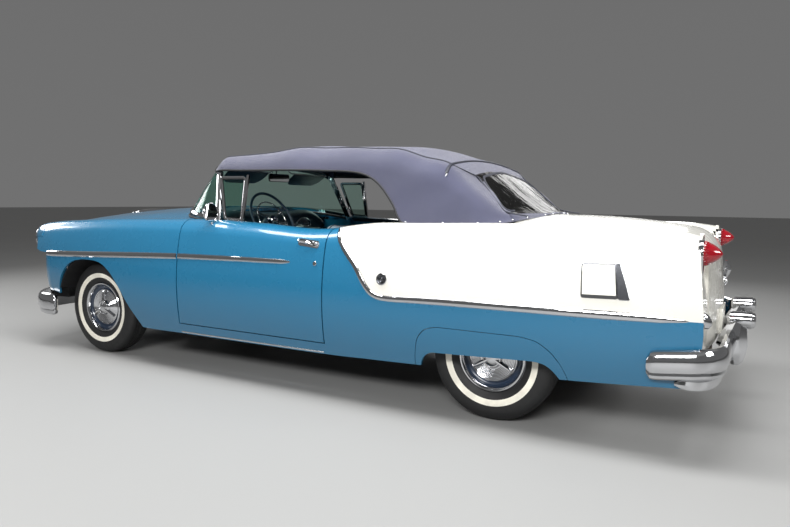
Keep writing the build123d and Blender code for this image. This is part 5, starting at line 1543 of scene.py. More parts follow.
def hoop(x, inset=0.0):
    """Points (y, z) of the top's outer face at x, from the left base up to the roof's middle."""
    values = smooth_columns(TOP_ROWS, x)
    base, side, edge, centre = values[0:2], values[2:4], values[4:6], values[6]
    side = side - np.array([inset, inset * 0.3])
    edge = edge - np.array([inset * 0.4, inset])
    wall = np.linspace(base - np.array([inset, 0]), side, 14)
    bulge = np.array([0.7071, 0.7071]) * np.linalg.norm(side - edge) * 0.16
    corner, _ = arc_through(side, (side + edge) / 2 + bulge, edge, 14)
    roof, _ = arc_through(edge, (0, centre - inset), (-edge[0], edge[1]), 41)
    return np.concatenate([wall, corner[1:], roof[1:21]])


CANOPY_POINTS = 48


def canopy_half(x, inset=0.0, low=None):
    """The left half of the hoop from the lower edge up to the middle, evenly spaced."""
    line = hoop(x, inset)
    if low is not None:
        heights = line[:20, 1]
        start = float(np.interp(low, heights, np.arange(20)))
        keep = int(np.ceil(start))
        first = line[0]
        if keep > 0:
            first = line[keep - 1] + (line[keep] - line[keep - 1]) * (start - (keep - 1))
        line = np.concatenate([[first], line[keep:]])
    lengths = np.concatenate([[0], np.cumsum(np.linalg.norm(np.diff(line, axis=0), axis=1))])
    at = np.linspace(0, lengths[-1], CANOPY_POINTS)
    return np.stack([np.interp(at, lengths, line[:, 0]), np.interp(at, lengths, line[:, 1])], axis=1)


def low_edge(x):
    """Height of the cloth's lower edge at x."""
    ordered = LOW_EDGE[np.argsort(LOW_EDGE[:, 0])]
    return float(np.interp(x, ordered[:, 0], ordered[:, 1]))


def cloth_relief(x, z):
    """How far the stretched cloth sags between its bows, in millimetres."""
    nearest = min(abs(x - b) for b in BOWS_X)
    roof = float(np.clip((z - 1330) / 120, 0, 1))
    sag = -6.0 * roof * (1 - np.exp(-(nearest / 130.0) ** 2))
    side = 1 - roof
    folds = 2.2 * side * sin(x / 58.0 + z / 90.0) * sin(z / 70.0 - x / 210.0)
    if x < -330:
        pull = float(np.clip((-330 - x) / 300, 0, 1)) * side
        folds += 3.0 * pull * sin((x + 1.2 * z) / 95.0)
    return sag + folds


def swept_back(x, y):
    """x of the cloth with its front corners drawn back, as the curved header has them."""
    return x - 84.0 * (y / 690.0) ** 2 * float(np.clip((x - 250) / 532, 0, 1)) ** 1.5


def build_canopy():
    """The cloth of the raised top, its seams, bindings and snaps."""
    xs = list(np.linspace(781, 742, 6)) + list(np.linspace(726, -1488, 150))
    grid = []
    for x in xs:
        half = canopy_half(x, 0.0, max(low_edge(x), smooth_columns(TOP_ROWS, x)[1]) if x > -830 else None)
        grid.append([(x, y, z) for y, z in half] + [(x, -y, z) for y, z in half[:-1][::-1]])
    grid = np.array(grid)
    normal = skin_normals(grid)
    for i in range(grid.shape[0]):
        for j in range(grid.shape[1]):
            edge_fade = min(j, grid.shape[1] - 1 - j) / 6.0
            grid[i, j] += normal[i, j] * cloth_relief(grid[i, j, 0], grid[i, j, 2]) * min(edge_fade, 1.0)
            grid[i, j, 0] = swept_back(*grid[i, j, :2])
    cloth_sheet = shell("canopy_cloth", grid, 5.0, CANVAS)
    outline = [tuple(p) for p in rounded(WINDOW_OUTLINE, WINDOW_ROUNDING, steps=8)]
    cut(cloth_sheet, [prism(outline, "X", -1600, -1000)])
    attach(cloth_sheet, "car", "fabric", "fabric_top")
    edge_line = []
    for x in np.linspace(776, -812, 90):
        y = canopy_half(x, 2.0, low_edge(x))[0][0]
        edge_line.append((swept_back(x, y), y, low_edge(x)))
    both_sides(tube("edge", edge_line, 7.0, SEAL, 8, up=(0, 1, 0)), "canopy_edge", "car", "fabric")
    seam = []
    for row in grid:
        if row[0, 0] > REAR_BOW_X and row[0, 1] > SEAM_Y:
            half = row[:CANOPY_POINTS][::-1]
            x, z = (float(np.interp(SEAM_Y, half[:, 1], half[:, k])) for k in (0, 2))
            seam.append((x, SEAM_Y, z + 2.0))
    for z in np.linspace(1340, 1100, 12):
        y = float(np.interp(z, (1100, 1320, 1345), (596, 470, 520)))
        seam.append((top_x(y, z) - 2.0, y, z))
    piping = sweep("seam", smooth_path(seam, 14), [(-5, -2), (-4, 2.5), (4, 2.5), (5, -2)], PIPING,
                   up=(0, 0.5, 0.87))
    both_sides(piping, "canopy_seam", "car", "fabric")
    strip = []
    for y, z in canopy_half(REAR_BOW_X)[14:]:
        bow = 1 - (y / 700.0) ** 2
        if z + 4 + 12.0 * bow > 1316:
            strip.append((REAR_BOW_X + 30.0 * bow, y, z + 4 + 12.0 * bow))
    whole = strip + [(a, -b, c) for a, b, c in reversed(strip[:-1])]
    binding = sweep("binding", smooth_path(whole, 14),
                    [(-9, -12), (-9, 2), (-4, 5.5), (4, 5.5), (9, 2), (9, -12)], PIPING)
    attach(binding, "car", "fabric")
    for side, side_name in SIDE_NAMES.items():
        outline = [(0, 0.01), (0, 7), (14, 6), (22, 3), (24, 0.01)]
        foot = (REAR_BOW_X, strip[0][1] * side, strip[0][2])
        attach(lathe(f"bow_tip_{side_name}", outline, foot, (0, side * 0.5, -0.85), CHROME, 20), "car",
               "chrome")
    stud = [(0, 0.01), (0, 5.5), (2.5, 5), (4, 3), (4.5, 0.01)]
    studs = [lathe("stud", stud, (x, y, z), (0, np.sign(y) * 0.35, 0.9), CHROME, 12) for x, y,
             z in base_line()]
    attach(join(studs, "canopy_studs"), "car", "chrome")


def build_top_frame():
    """The bows under the cloth and the rails along its side openings."""
    pieces = []
    for x in BOWS_X:
        half = canopy_half(x, 16.0, max(low_edge(x) + 8, 1060.0) if x > -800 else 1062.0)
        path = [(swept_back(x, y), y, z) for y, z in half]
        pieces.append(tube("bow", path + [(a, -b, c) for a, b, c in reversed(path[:-1])], 9, BLACK_PAINT,
                           8))
    for side in (LEFT, RIGHT):
        rail = []
        for x in np.linspace(700, -770, 60):
            z = low_edge(x) + 13
            y = canopy_half(x, 17.0, z)[0][0]
            rail.append((swept_back(x, y), side * y, z))
        pieces.append(sweep("rail", rail, [(-9, -9), (9, -9), (9, 9), (-9, 9)], BLACK_PAINT, up=(0, 1, 0)))
    attach(join(pieces, "top_frame_parts"), "car", "steel", "top_frame")


def base_line():
    """Where the snaps hold the cloth to the body. There is none at the middle of the rear."""
    half = smooth_path([(-817, 766, 1056), (-1050, 764, 1056), (-1250, 748, 1060), (-1352, 680, 1068),
                        (-1400, 610, 1078),
                        (-1442, 476, 1090), (-1484, 262, 1102), (-1496, 0, 1108)], 118)
    return [(x, y * side, z) for side in (LEFT, RIGHT) for x, y, z in half[:-1]]


def build_rear_window():
    """The clear plastic window sewn into the cloth, with its binding."""
    rows = []
    for z_share in np.linspace(0, 1, 26):
        line = []
        for y_share in np.linspace(-1, 1, 61):
            z_low, z_high = 1112, 1374 - 44 * abs(y_share) ** 1.5
            z = z_low + (z_high - z_low) * z_share
            y = (598 - 128 * z_share) * y_share
            x = top_x(y, z)
            line.append((x + 4 + 3.0 * sin(y / 55.0) * sin(pi * z_share), y, z))
        rows.append(line)
    sheet = shell("vinyl_sheet", rows, 1.5, VINYL_WINDOW, (-1, 0, 0.5))
    attach(sheet, "car", "clear_vinyl", "rear_window")
    border = [(top_x(y, z) - 1.5, y, z) for y, z in rounded(WINDOW_OUTLINE, WINDOW_ROUNDING, steps=8)]
    binding = sweep("window_binding", smooth_path(border, 12, closed=True),
                    [(-9, -1.5), (-7, 1.5), (7, 1.5), (9, -1.5)], PIPING, up=(-0.7, 0, 0.7), closed=True)
    attach(binding, "car", "fabric")


def top_x(y, z):
    """Where the top's outer face reaches height z at this y, behind the last bow."""
    xs = np.linspace(-1000, -1480, 120)
    lines = [roof_line(round(float(x), 1)) for x in xs]
    heights = np.array([np.interp(abs(y), line[::-1, 0], line[::-1, 1]) for line in lines])
    return float(np.interp(-z, -heights, xs))


@cache
def roof_line(x):
    """The hoop at x above its lower side. Each is worked out once."""
    return hoop(x)[13:]


# Windshield
GLASS_NORMALS = np.array([(0.05, 1.0), (0.43, 0.90), (0.965, 0.264), (1.0, 0.0)])
GLASS_STEPS = 17


def glass_line(level, offset):
    """Points across the windshield at a level from 0 at its base to 1 at its head, from left to right."""
    foot_z, slope = [a + (b - a) * level for a, b in zip(GLASS_BASE_PLANE, GLASS_HEAD_PLANE)]
    route = np.array([(a[0] + (b[0] - a[0]) * level, a[1] + (b[1] - a[1]) * level) for a,
                      b in zip(GLASS_BASE, GLASS_HEAD)])
    foot_x = route[0][0]
    moved = route + GLASS_NORMALS * offset
    front, _ = arc_through(moved[2], moved[3], (moved[2][0], -moved[2][1]), 2 * GLASS_STEPS + 1)
    start = -(front[1] - front[0]) / np.linalg.norm(front[1] - front[0])
    side, leaving = arc_from(moved[2], start, moved[1], GLASS_STEPS)
    end, _ = arc_from(moved[1], leaving, moved[0], GLASS_STEPS)
    half = np.concatenate([end[::-1][:-1], side[::-1][:-1], front[:GLASS_STEPS + 1]])
    whole = np.concatenate([half, half[:-1][::-1] * np.array([1, -1])])
    return np.array([(x, y, foot_z + (x - foot_x) * slope) for x, y in whole])


def strip_across(name, level, width, depth):
    """A bright strip across the windshield at a level."""
    line = glass_line(level, 8)
    profile = [(-depth / 2, -width / 2), (depth * 0.35, -width / 2), (depth / 2, 0),
               (depth * 0.35, width / 2),
               (-depth / 2, width / 2)]
    return sweep(name, line, profile, CHROME, up=unit(glass_line(level + 0.05, 8) - line), sharp_angle=24)


def build_windshield():
    """The wraparound glass, its bright surround with both corner posts, and the gasket at its foot."""
    grid = np.array([glass_line(level, 3.0) for level in np.linspace(0.02, 0.97, 14)])
    attach(shell("windshield_pane", grid, 5.0, GLASS, (1, 0, 0.3)), "car", "glass", "windshield_glass")
    pieces = [strip_across("base", 0.03, 26, 18), strip_across("head", 0.955, 36, 24)]
    profile = [(-23, -8), (-25, 2), (-20, 10), (-8, 13), (6, 12), (18, 8), (24, 0), (20, -8)]
    for end, side in ((0, LEFT), (-1, RIGHT)):
        post = [glass_line(level, 6.0)[end] for level in np.linspace(-0.06, 1.0, 14)]
        pieces.append(sweep("post", post, profile, CHROME, up=(0, side, 0), sharp_angle=28))
    attach(join(pieces, "windshield_surround"), "car", "chrome", "windshield_frame")
    lower = [(x, y, z - 16) for x, y, z in glass_line(0.0, 14)]
    attach(tube("windshield_gasket", lower[2:-2], 9, SEAL, 8), "car", "black_paint")


# Cabin
FLOOR_TOP = 352.0
FRONT_CUSHION = [
    # x and z round the section, from the lower front
    (428, 500), (436, 560), (426, 600), (384, 622), (200, 604), (20, 586), (-70, 582), (-110, 560),
    (-110, 500),
]
FRONT_BACK = [(-66, 592), (-82, 700), (-96, 860), (-100, 990), (-128, 1030), (-184, 1010), (-222, 860),
              (-240, 700), (-240, 600)]
REAR_CUSHION = [(-572, 470), (-560, 540), (-572, 584), (-620, 598), (-800, 588), (-940, 574), (-964, 540),
                (-964, 470)]
REAR_BACK = [(-972, 590), (-1010, 720), (-1050, 880), (-1074, 985), (-1100, 1002), (-1126, 990),
             (-1138, 800), (-1140, 640), (-1100, 590)]
FRONT_HALF, REAR_HALF = 622, 536
BACK_HALF, BACK_Y = 303, 316
PLEAT_SPACING = 0.062
SEAT_VOXEL = 0.014
SEAT_PUFF = 0.022
SEAT_PRESSURE = 4.0
CLOTH_FRAMES = 20
WELT_RADIUS = 3.4


def seat_block(name, section, half, squeeze, centre=0.0, corner=70.0):
    """A closed bolster along Y whose section shrinks at its rounded ends."""
    middle = np.mean(section, axis=0)
    section = rounded(section, 26, steps=3)
    rows = []
    for share in np.concatenate([[-1, -0.992, -0.97], np.linspace(-0.93, 0.93, 21), [0.97, 0.992, 1]]):
        y = centre + share * half
        from_end = (1 - abs(share)) * half
        share_left = 1.0 - squeeze * max(0.0, 1 - from_end / corner) ** 2
        rows.append([(middle[0] + (x - middle[0]) * share_left, y, middle[1] + (z - middle[1]) * share_left)
                     for x, z in section])
    return loft_block(name, rows, SEAT_VINYL)


def puff(item):
    """Blows the block up as cloth over its filling, by no more than SEAT_PUFF metres, and smooths it."""
    step = item.modifiers.new("even", "REMESH")
    step.mode, step.voxel_size = "VOXEL", SEAT_VOXEL
    bake(item)
    before = np.array([v.co[:] for v in item.data.vertices])
    cloth = item.modifiers.new("cloth", "CLOTH")
    cloth.settings.use_pressure = True
    cloth.settings.uniform_pressure_force = SEAT_PRESSURE
    cloth.settings.effector_weights.gravity = 0.0
    cloth.settings.quality = 5
    for number in range(1, CLOTH_FRAMES + 1):
        bpy.context.scene.frame_set(number)
    bake(item)
    bpy.context.scene.frame_set(1)
    after = np.array([v.co[:] for v in item.data.vertices])
    moved = after - before
    far = np.linalg.norm(moved, axis=1, keepdims=True)
    after = before + moved * np.minimum(1.0, SEAT_PUFF / np.maximum(far, 1e-9))
    item.data.vertices.foreach_set("co", after.ravel())
    step = item.modifiers.new("fine", "SUBSURF")
    step.levels = 1
    bake(item)
    soften(item, 60.0)
    return item


def press(item, depth_at):
    """Presses seams into a padded piece. depth_at gives their depth in metres at each point."""
    mesh = item.data
    points = np.array([v.co[:] for v in mesh.vertices])
    normals = np.array([v.normal[:] for v in mesh.vertices])
    points -= normals * depth_at(points, normals)[:, None]
    mesh.vertices.foreach_set("co", points.ravel())
    mesh.update()


def groove(distance, width, depth):
    """Depth of a rounded groove at a distance from its line."""
    return depth * np.exp(-(distance / width) ** 2)


def pleats(half, low, high, letter, facing):
    """Sewn channels in the middle of a seat between two positions on an axis, and the seam round them."""
    index = "XYZ".index(letter)

    def depth_at(points, normals):
        y, along = points[:, 1], points[:, index]
        inside = (np.abs(y) < half) & (along > low) & (along < high) & (normals @ np.array(facing) > 0.35)
        nearest = np.abs((y + PLEAT_SPACING / 2) % PLEAT_SPACING - PLEAT_SPACING / 2)
        depth = np.where(inside, groove(nearest, 0.0045, 0.0075), 0.0)
        front = normals @ np.array(facing) > 0.2
        edge = np.minimum(np.abs(np.abs(y) - half), 1.0) + np.where((along > low) & (along < high), 0, 1)
        ends = np.minimum(np.abs(along - low), np.abs(along - high)) + np.where(np.abs(y) < half, 0, 1)
        seam = groove(np.minimum(edge, ends), 0.006, 0.009)
        return np.where(front, np.maximum(depth, seam), 0.0)

    return depth_at


def welt(name, item, line):
    """Piping laid on the surface of a padded piece along a line."""
    surface = BVHTree.FromObject(item, bpy.context.evaluated_depsgraph_get())
    path = []
    for point in smooth_path(line, 14):
        spot, normal, _, _ = surface.find_nearest(Vector(point * MM))
        path.append(np.array(spot + normal * (WELT_RADIUS * 0.35 * MM)) / MM)
    return tube(name, path, WELT_RADIUS, DARK_VINYL, 8)


def padded_block(block, node, seams):
    """A seat's bolster, puffed up, with its seams pressed in."""
    item = puff(block)
    press(item, seams)
    attach(item, "car", "seat_trim", node)
    return item


def build_seats():
    """Both bench seats with their welts, bases and the front seat's back panel."""
    block = seat_block("front_cushion", FRONT_CUSHION, FRONT_HALF, 0.35)
    cushion = padded_block(block, "front_seat", pleats(0.50, -0.02, 0.36, "X", (0, 0, 1)))
    edge = [(20, 610, 588), (384, 612, 622), (436, 560, 590), (440, 0, 598), (436, -560, 590),
            (384, -612, 622), (20, -610, 588)]
    attach(welt("front_cushion_welt", cushion, edge), "car", "dark_trim")
    backs = []
    for side in (LEFT, RIGHT):
        block = seat_block(f"front_back_{SIDE_NAMES[side]}", FRONT_BACK, BACK_HALF, 0.45, side * BACK_Y,
                           110)
        middle = np.array([0, side * BACK_Y * MM, 0])
        seams = pleats(0.185, 0.68, 0.94, "Z", (1, 0, 0.2))
        back = padded_block(block, "front_seat", lambda points, normals: seams(points - middle, normals))
        rim = [(-90, side * 608, 640), (-118, side * 606, 900), (-150, side * 560, 1016),
               (-152, side * 316, 1024),
               (-150, side * 72, 1016), (-118, side * 26, 900), (-90, side * 24, 640)]
        backs.append(welt("back_welt", back, rim))
    attach(join(backs, "front_back_welts"), "car", "dark_trim")
    padded_block(seat_block("rear_cushion", REAR_CUSHION, REAR_HALF, 0.35), "rear_seat",
                 pleats(0.42, -0.90, -0.62, "X", (0, 0, 1)))
    padded_block(seat_block("rear_back", REAR_BACK, REAR_HALF, 0.3), "rear_seat",
                 pleats(0.42, 0.66, 0.93, "Z", (1, 0, 0.2)))
    bases = []
    for low, high, front, rear_x, half in ((FLOOR_TOP + 1, 500, 392, -232, 600),
                                           (FLOOR_TOP + 1, 480, -580, -764, 530)):
        plan = rounded([(front, half), (front, -half), (rear_x, -half), (rear_x, half)], 40)
        base = loft_block("seat_base", [[(x, y, z) for x, y in plan] for z in (low, high)], DARK_VINYL)
        cut(base, [prism([(-900, -133), (900, -133), (900, 133), (-900, 133)], "Z", 300, 481)])
        bases.append(base)
    shell_back = [[(x - 3, y, z) for y in np.linspace(-590, 590, 25)] for x,
                  z in ((-240, 520), (-246, 600), (-240, 760), (-226, 900))]
    bases.append(shell("seat_back_panel", shell_back, 5, DARK_VINYL, (-1, 0, 0)))
    attach(join(bases, "seat_bases"), "car", "dark_trim", "front_seat", "rear_seat")


# The dashboard. Each row: y, top of the face and how far the face leans to the seat
DASH_ROWS = [
    (-684, 1003, 0), (-620, 1036, 4), (-560, 1062, 8), (-500, 1080, 12), (-440, 1088, 15), (-360, 1086, 14),
    (-240, 1080, 8),
    (-120, 1077, 2), (0, 1076, 0),
]


DIAL_Y = 390
DIAL_FLATNESS = 0.62


def dash_row(y):
    """Top height and lean of the dashboard at this y."""
    return smooth_columns([(-r[0], *r[1:]) for r in DASH_ROWS], abs(y))


def dash_section(y):
    """Outline of the dashboard in (x, z) at this y."""
    top, lean = dash_row(y)
    corners = [(1036, 1010), (1060, top - 16), (960, top - 4), (850, top), (786 - lean, top - 1),
               (757 - lean, top - 16),
               (754 - lean, top - 40), (764, top - 62), (766, 985), (774, 935), (756, 925), (758, 880),
               (800, 856), (860, 860)]
    return rounded(corners, [10, 10, 20, 20, 12, 12, 10, 8, 8, 8, 8, 14, 14, 10], steps=3)


def face_arc(centre_y, radius, angle, out, centre_z=958):
    """A point on a half-round dial's outline on the dashboard's face."""
    return face_point(centre_y + radius * cos(angle), centre_z + radius * DIAL_FLATNESS * sin(angle), out)


def face_point(y, z, out=0.0):
    """A point on the dashboard's face, this far out of it towards the seats."""
    top, _ = dash_row(y)
    x = float(np.interp(z, [880, 925, 935, 985, top - 62], [758, 756, 774, 766, 764]))
    return (x - out, y, z)


def build_dashboard():
    """The dashboard with its bright strips, dials, knobs, radio and glove box."""
    ys = np.linspace(-684, 684, 77)
    body = loft_block("dash_body", [[(x, y, z) for x, z in dash_section(y)] for y in ys], DASH_PAINT)
    attach(body, "car", "dark_trim", "dashboard")
    bright = []
    for z, height, depth in ((930, 9, 5), (1000, 5, 4)):
        line = [face_point(y, z, 1) for y in np.linspace(-640, 640, 49)]
        bright.append(sweep("strip", line,
                            [(-depth / 2, -height / 2), (depth / 2, -height / 2 + 1), (depth, 0),
                            (depth / 2, height / 2 - 1), (-depth / 2, height / 2)], SATIN))
    for k in range(13):
        line = [face_point(y, 942 + k * 4.0, 1.2) for y in np.linspace(-190, 190, 15)]
        bright.append(tube("rib", line, 1.3, SATIN, 6))
    half_turn = np.linspace(0, pi, 33)
    for centre in (DIAL_Y, -DIAL_Y):
        for radius, depth, thick, look in ((104, 9, 4.6, CHROME), (88, 4, 2.2, SATIN)):
            fan = [face_arc(centre, radius, a, depth, 956) for a in half_turn]
            fan += [face_point(centre + radius * share, 950, depth) for share in (-0.9, 0.9)]
            bright.append(tube("fan_rim", fan, thick, look, 8, closed=True, up=(1, 0, 0)))
    for y, z, radius in ((262, 966, 10), (232, 966, 10), (150, 918, 9), (110, 918, 9), (-110, 918, 9),
                         (-150, 918, 9),
                         (520, 960, 12), (-262, 966, 10), (60, 974, 13), (-60, 974, 13)):
        x = face_point(y, z)[0]
        bright.append(lathe("knob", [(0, 0), (0, radius * 0.55), (8, radius * 0.5), (9, radius),
                                     (19, radius), (22, radius * 0.7),
                            (23, 0)], (x, y, z), (-1, 0, 0), CHROME, 24, closed=False))
    attach(join(bright, "dash_brightwork"), "car", "chrome")
    dials = []
    for y in (DIAL_Y, -DIAL_Y):
        points = [face_arc(y, 82, a, 3) for a in half_turn]
        dials.append(loft_block("dial", [[(x + d, a, b) for x, a, b in points] for d in (0, 4)], DIAL))
    for side_y in (470, 310, -310, -470):
        dials.append(lathe("small_dial", [(0, 0), (0, 22), (4, 23), (5, 20), (3, 18), (3, 0)],
                           face_point(side_y, 906, 0),
                           (-1, 0, 0), DIAL, 32, closed=False))
    radio = [face_point(y, z, 3) for y, z in rounded([(-90, 905), (90, 905), (90, 950), (-90, 950)], 8)]
    dials.append(loft_block("radio", [[(x + d, a, b) for x, a, b in radio] for d in (0, 6)], DIAL))
    attach(join(dials, "dash_dials"), "car", "dark_trim")
    marks = []
    for k in range(21):
        angle = pi * (0.06 + 0.88 * k / 20)
        inner = 60 if k % 2 == 0 else 68
        ends = [face_arc(DIAL_Y, r, angle, 3.6) for r in (inner, 76)]
        marks.append(tube("mark", ends, 0.8 if k % 2 else 1.3, DIAL_MARKS, 6, up=(1, 0, 0)))
    marks.append(tube("pointer", [face_point(390, 960, 4), face_point(340, 992, 4)], 1.2, RED_LENS, 6,
                      up=(1, 0, 0)))
    for k in range(9):
        angle = pi * (0.1 + 0.8 * k / 8)
        ends = [face_arc(-DIAL_Y, r, angle, 4) for r in (16, 76)]
        marks.append(tube("speaker_bar", ends, 1.8, SATIN, 6, up=(1, 0, 0)))
    attach(join(marks, "dash_marks"), "car", "chrome")
    lid = [face_point(y, z, 1.2) for y,
           z in rounded([(-620, 862), (-500, 862), (-500, 918), (-620, 918)], 12)]
    attach(tube("glove_box_line", lid, 1.5, CHROME, 6, closed=True, up=(1, 0, 0)), "car", "chrome")


def build_dash_top():
    """The dark padded ledge behind the windshield."""
    ordered = sorted((x, y) for x, y in GLASS_BASE)
    grid = []
    for x in np.linspace(799, 1050, 16):
        reach = float(np.interp(x, *zip(*ordered))) - 30
        _, ys, zs = np.array(crown_section(CROWN_ROWS["cowl"], x, 0))[::-1].T
        grid.append([(x, y, float(np.interp(y, ys, zs)) + 3.0) for y in np.linspace(reach, -reach, 31)])
    attach(shell("dash_top", grid, 2.5, DARK_VINYL), "car", "dark_trim")


def wheel_frame():
    """Directions of the steering wheel: along its column forwards, to the left and up in its plane."""
    angle = radians(COLUMN_ANGLE)
    return (np.array([cos(angle), 0, -sin(angle)]), np.array([0.0, 1.0, 0.0]),
            np.array([sin(angle), 0, cos(angle)]))


def build_steering():
    """The steering wheel with its horn ring, and the column with its two levers."""
    along, left, up = wheel_frame()
    centre = np.array(STEERING_CENTRE)

    def at(radius, angle, depth=0.0):
        return centre + left * radius * cos(angle) + up * radius * sin(angle) + along * depth

    ring = [at(STEERING_RADIUS, a) for a in np.linspace(0, 2 * pi, 121)[:-1]]
    rim = tube("steering_rim", ring, 9.6, DASH_PAINT, 16, closed=True, up=tuple(along))
    attach(rim, "steering_wheel", "dark_trim", "steering_wheel")
    ring = [at(142, a, 4) for a in np.linspace(0, 2 * pi, 97)[:-1]]
    bright = [tube("horn_ring", ring, 4.2, CHROME, 10, closed=True, up=tuple(along))]
    for turn in (radians(28), radians(152), radians(270)):
        for lean in (-0.052, 0.052):
            path = [at(26, turn + lean * 2.2, 14), at(80, turn + lean * 1.2, 12), at(150, turn + lean, 7),
                    at(STEERING_RADIUS - 4, turn + lean, 1)]
            bright.append(tube("spoke", smooth_path(path, 10), 3.6, CHROME, 8))
    hub = [(36, 0), (36, 24), (30, 30), (10, 34), (-4, 36), (-12, 34), (-20, 26), (-26, 12), (-28, 0)]
    bright.append(lathe("hub", hub, centre, along, CHROME, 48, closed=False))
    attach(join(bright, "steering_brightwork"), "steering_wheel", "chrome", "steering_wheel")
    cap = lathe("cap", [(-27, 0), (-27, 14), (-30, 12), (-33, 0)], centre, along, DARK_BLUE_AND_PAINTED_REFLECTION, 32,
                closed=False)
    hub_shell = lathe("hub_shell", [(30, 20), (58, 22), (58, 40), (34, 44), (20, 40)], centre, along,
                      DASH_PAINT, 48)
    attach(join([cap, hub_shell], "steering_cap"), "steering_wheel", "dark_trim", "steering_wheel")
    pieces = [tube("column", [centre + along * d for d in (60, 200, 420, 690)], 24, DASH_PAINT, 24),
              lathe("collar", [(62, 24), (64, 33), (96, 33), (104, 25)], centre, along, SATIN, 48)]
    for name, thick, points in (("shift_lever", 4.2, ((28, 200, 110), (90, 205, 92), (168, 204, 62))),
                                ("signal_lever", 3.4, ((28, -12, 104), (80, -10, 90), (128, -9, 74)))):
        path = [at(radius, radians(angle), depth) for radius, angle, depth in points]
        pieces.append(tube(name, smooth_path(path, 10), thick, CHROME, 10))
    pieces.append(lathe("shift_knob", [(0, 0), (2, 8), (12, 11), (22, 8), (25, 0)],
                        at(166, radians(204), 62),
                        left * -0.85 + up * -0.3, DASH_PAINT, 24, closed=False))
    attach(join(pieces, "steering_column"), "car", "dark_trim", "dashboard")


def build_door_trim():
    """The panel on the inside of each door, with its pleats, armrest, crank and latch."""
    rows = []
    for z in np.linspace(356, 938, 30):
        line = []
        for x in np.linspace(-366, 506, 60):
            swell = 5.0 * min(1.0, (z - 350) / 60, (x + 376) / 50, (516 - x) / 50)
            channel = 0.0
            if 480 < z < 640:
                channel = 4.0 * np.exp(-(((x + 20) % 40
                                          - 20) / 5.0) ** 2) * min(1.0, (z - 480) / 20, (640 - z) / 20)
            line.append((x, DOOR_INNER_Y - 3 - swell + channel, z))
        rows.append(line)
    both_sides(shell("door_trim", rows, 3, SILVER_VINYL, (0, -1, 0)), "door_trim", "door_SIDE", "seat_trim")
    upper = []
    for x in np.linspace(-366, 506, 40):
        inner = inner_edge(x)
        upper.append([(x, DOOR_INNER_Y - 9, 938), (x, DOOR_INNER_Y - 10, 956),
                      (x, inner[0] + 28, inner[1] - 26), (x, inner[0] + 12, inner[1] - 8),
                      (x, inner[0] + 22, inner[1] + 2)])
    both_sides(shell("door_cap", upper, 3, DASH_PAINT, (0, -1, 0.2)), "door_cap", "door_SIDE", "dark_trim")
    arm = []
    for share in np.linspace(0, 1, 19):
        x = -300 + 470 * share
        fat = sin(pi * min(max(share, 0.04), 0.96)) ** 0.35
        arm.append([(x, DOOR_INNER_Y - 8 + a * fat, 690 + b * fat) for a, b in
                    rounded([(4, -34), (-30, -26), (-52, 4), (-50, 20), (4, 24)], 14, steps=4)])
    armrest = loft_block("door_armrest", arm, DARK_VINYL)
    for piece in both_sides(armrest, "door_armrest", "door_SIDE", "dark_trim"):
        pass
    y = DOOR_INNER_Y - 9
    bright = []
    for z, height in ((648, 7), (472, 9), (944, 8)):
        line = [(x, y - 1, z) for x in np.linspace(-356, 496, 40)]
        bright.append(sweep("strip", line, [(-3, -height / 2), (2, -height / 2), (4, 0), (2, height / 2),
                                            (-3, height / 2)], CHROME))
    boss = [(0, 0), (0, 24), (6, 22), (12, 14), (20, 12), (22, 0)]
    ends = []
    for x, z, turn, reach in ((262, 780, radians(235), 118), (398, 838, radians(185), 112)):
        end = (x + reach * cos(turn), y - 16, z + reach * sin(turn))
        ends.append(end)
        bright.append(lathe("boss", boss, (x, y, z), (0, -1, 0), CHROME, 32, closed=False))
        bright.append(tube("arm", smooth_path([(x, y - 16, z), ((x + end[0]) / 2, y - 20, (z + end[2]) / 2),
                                               end], 10), 6, CHROME, 10,
                           up=(0, 1, 0)))
    knob = [(0, 0), (0, 6), (6, 10), (20, 11), (28, 8), (30, 0)]
    bright.append(lathe("crank_knob", knob, (ends[0][0], y - 18, ends[0][2]), (0, -1, 0), DASH_PAINT, 24,
                        closed=False))
    both_sides(join(bright, "door_inner_fittings"), "door_inner_fittings", "door_SIDE", "chrome")


def build_cabin_sides():
    """Quarter trims, kick panels beside the feet, and the cover behind the rear seat."""
    plan = smooth_path([(-398, 832), (-470, 818), (-560, 740), (-640, 640), (-760, 592), (-960, 580),
                        (-1160, 576)], 30)
    rows = []
    for z in list(np.linspace(FLOOR_TOP + 4, 930, 12)) + [952, 964]:
        rows.append([(x, y + (4 if z > 940 else 0) + (10 if z > 960 else 0), z) for x, y in plan])
    outer = []
    for x, y in plan:
        inner = inner_edge(x)
        outer.append([(x, y + 14, 966), (x, y + (inner[0] + 12 - y) * 0.5, 990),
                      (x, inner[0] + 14, inner[1] - 6)])
    both_sides(shell("quarter_trim", rows, 4, SILVER_VINYL, (0, -1, 0)), "quarter_trim", "car", "seat_trim")
    both_sides(shell("quarter_cap", outer, 3, DARK_VINYL, (0, 0, 1)), "quarter_cap", "car", "dark_trim")
    kick = [[(x, y, z) for x, y in ((516, 752), (700, 752), (900, 750), (1000, 748))]
            for z in (FLOOR_TOP + 4, 560, 760, 930)]
    both_sides(shell("kick_panel", kick, 4, DARK_VINYL, (0, -1, 0)), "kick_panel", "car", "dark_trim")
    well = []
    for share in np.linspace(0, 1, 13):
        x = -1128 - 262 * share
        line = []
        for y_share in np.linspace(-1, 1, 31):
            sag = sin(pi * share)
            folds = 5 * sin(9 * y_share + 3 * share) * sag
            z = 992 + 70 * share - 26 * sag * (1 - 0.3 * y_share ** 2) + folds
            line.append((x, (640 + 60 * share) * y_share, z))
        well.append(line)
    cover = shell("well_cover", well, 3, LINER, (0, 0, 1))
    attach(cover, "car", "fabric")


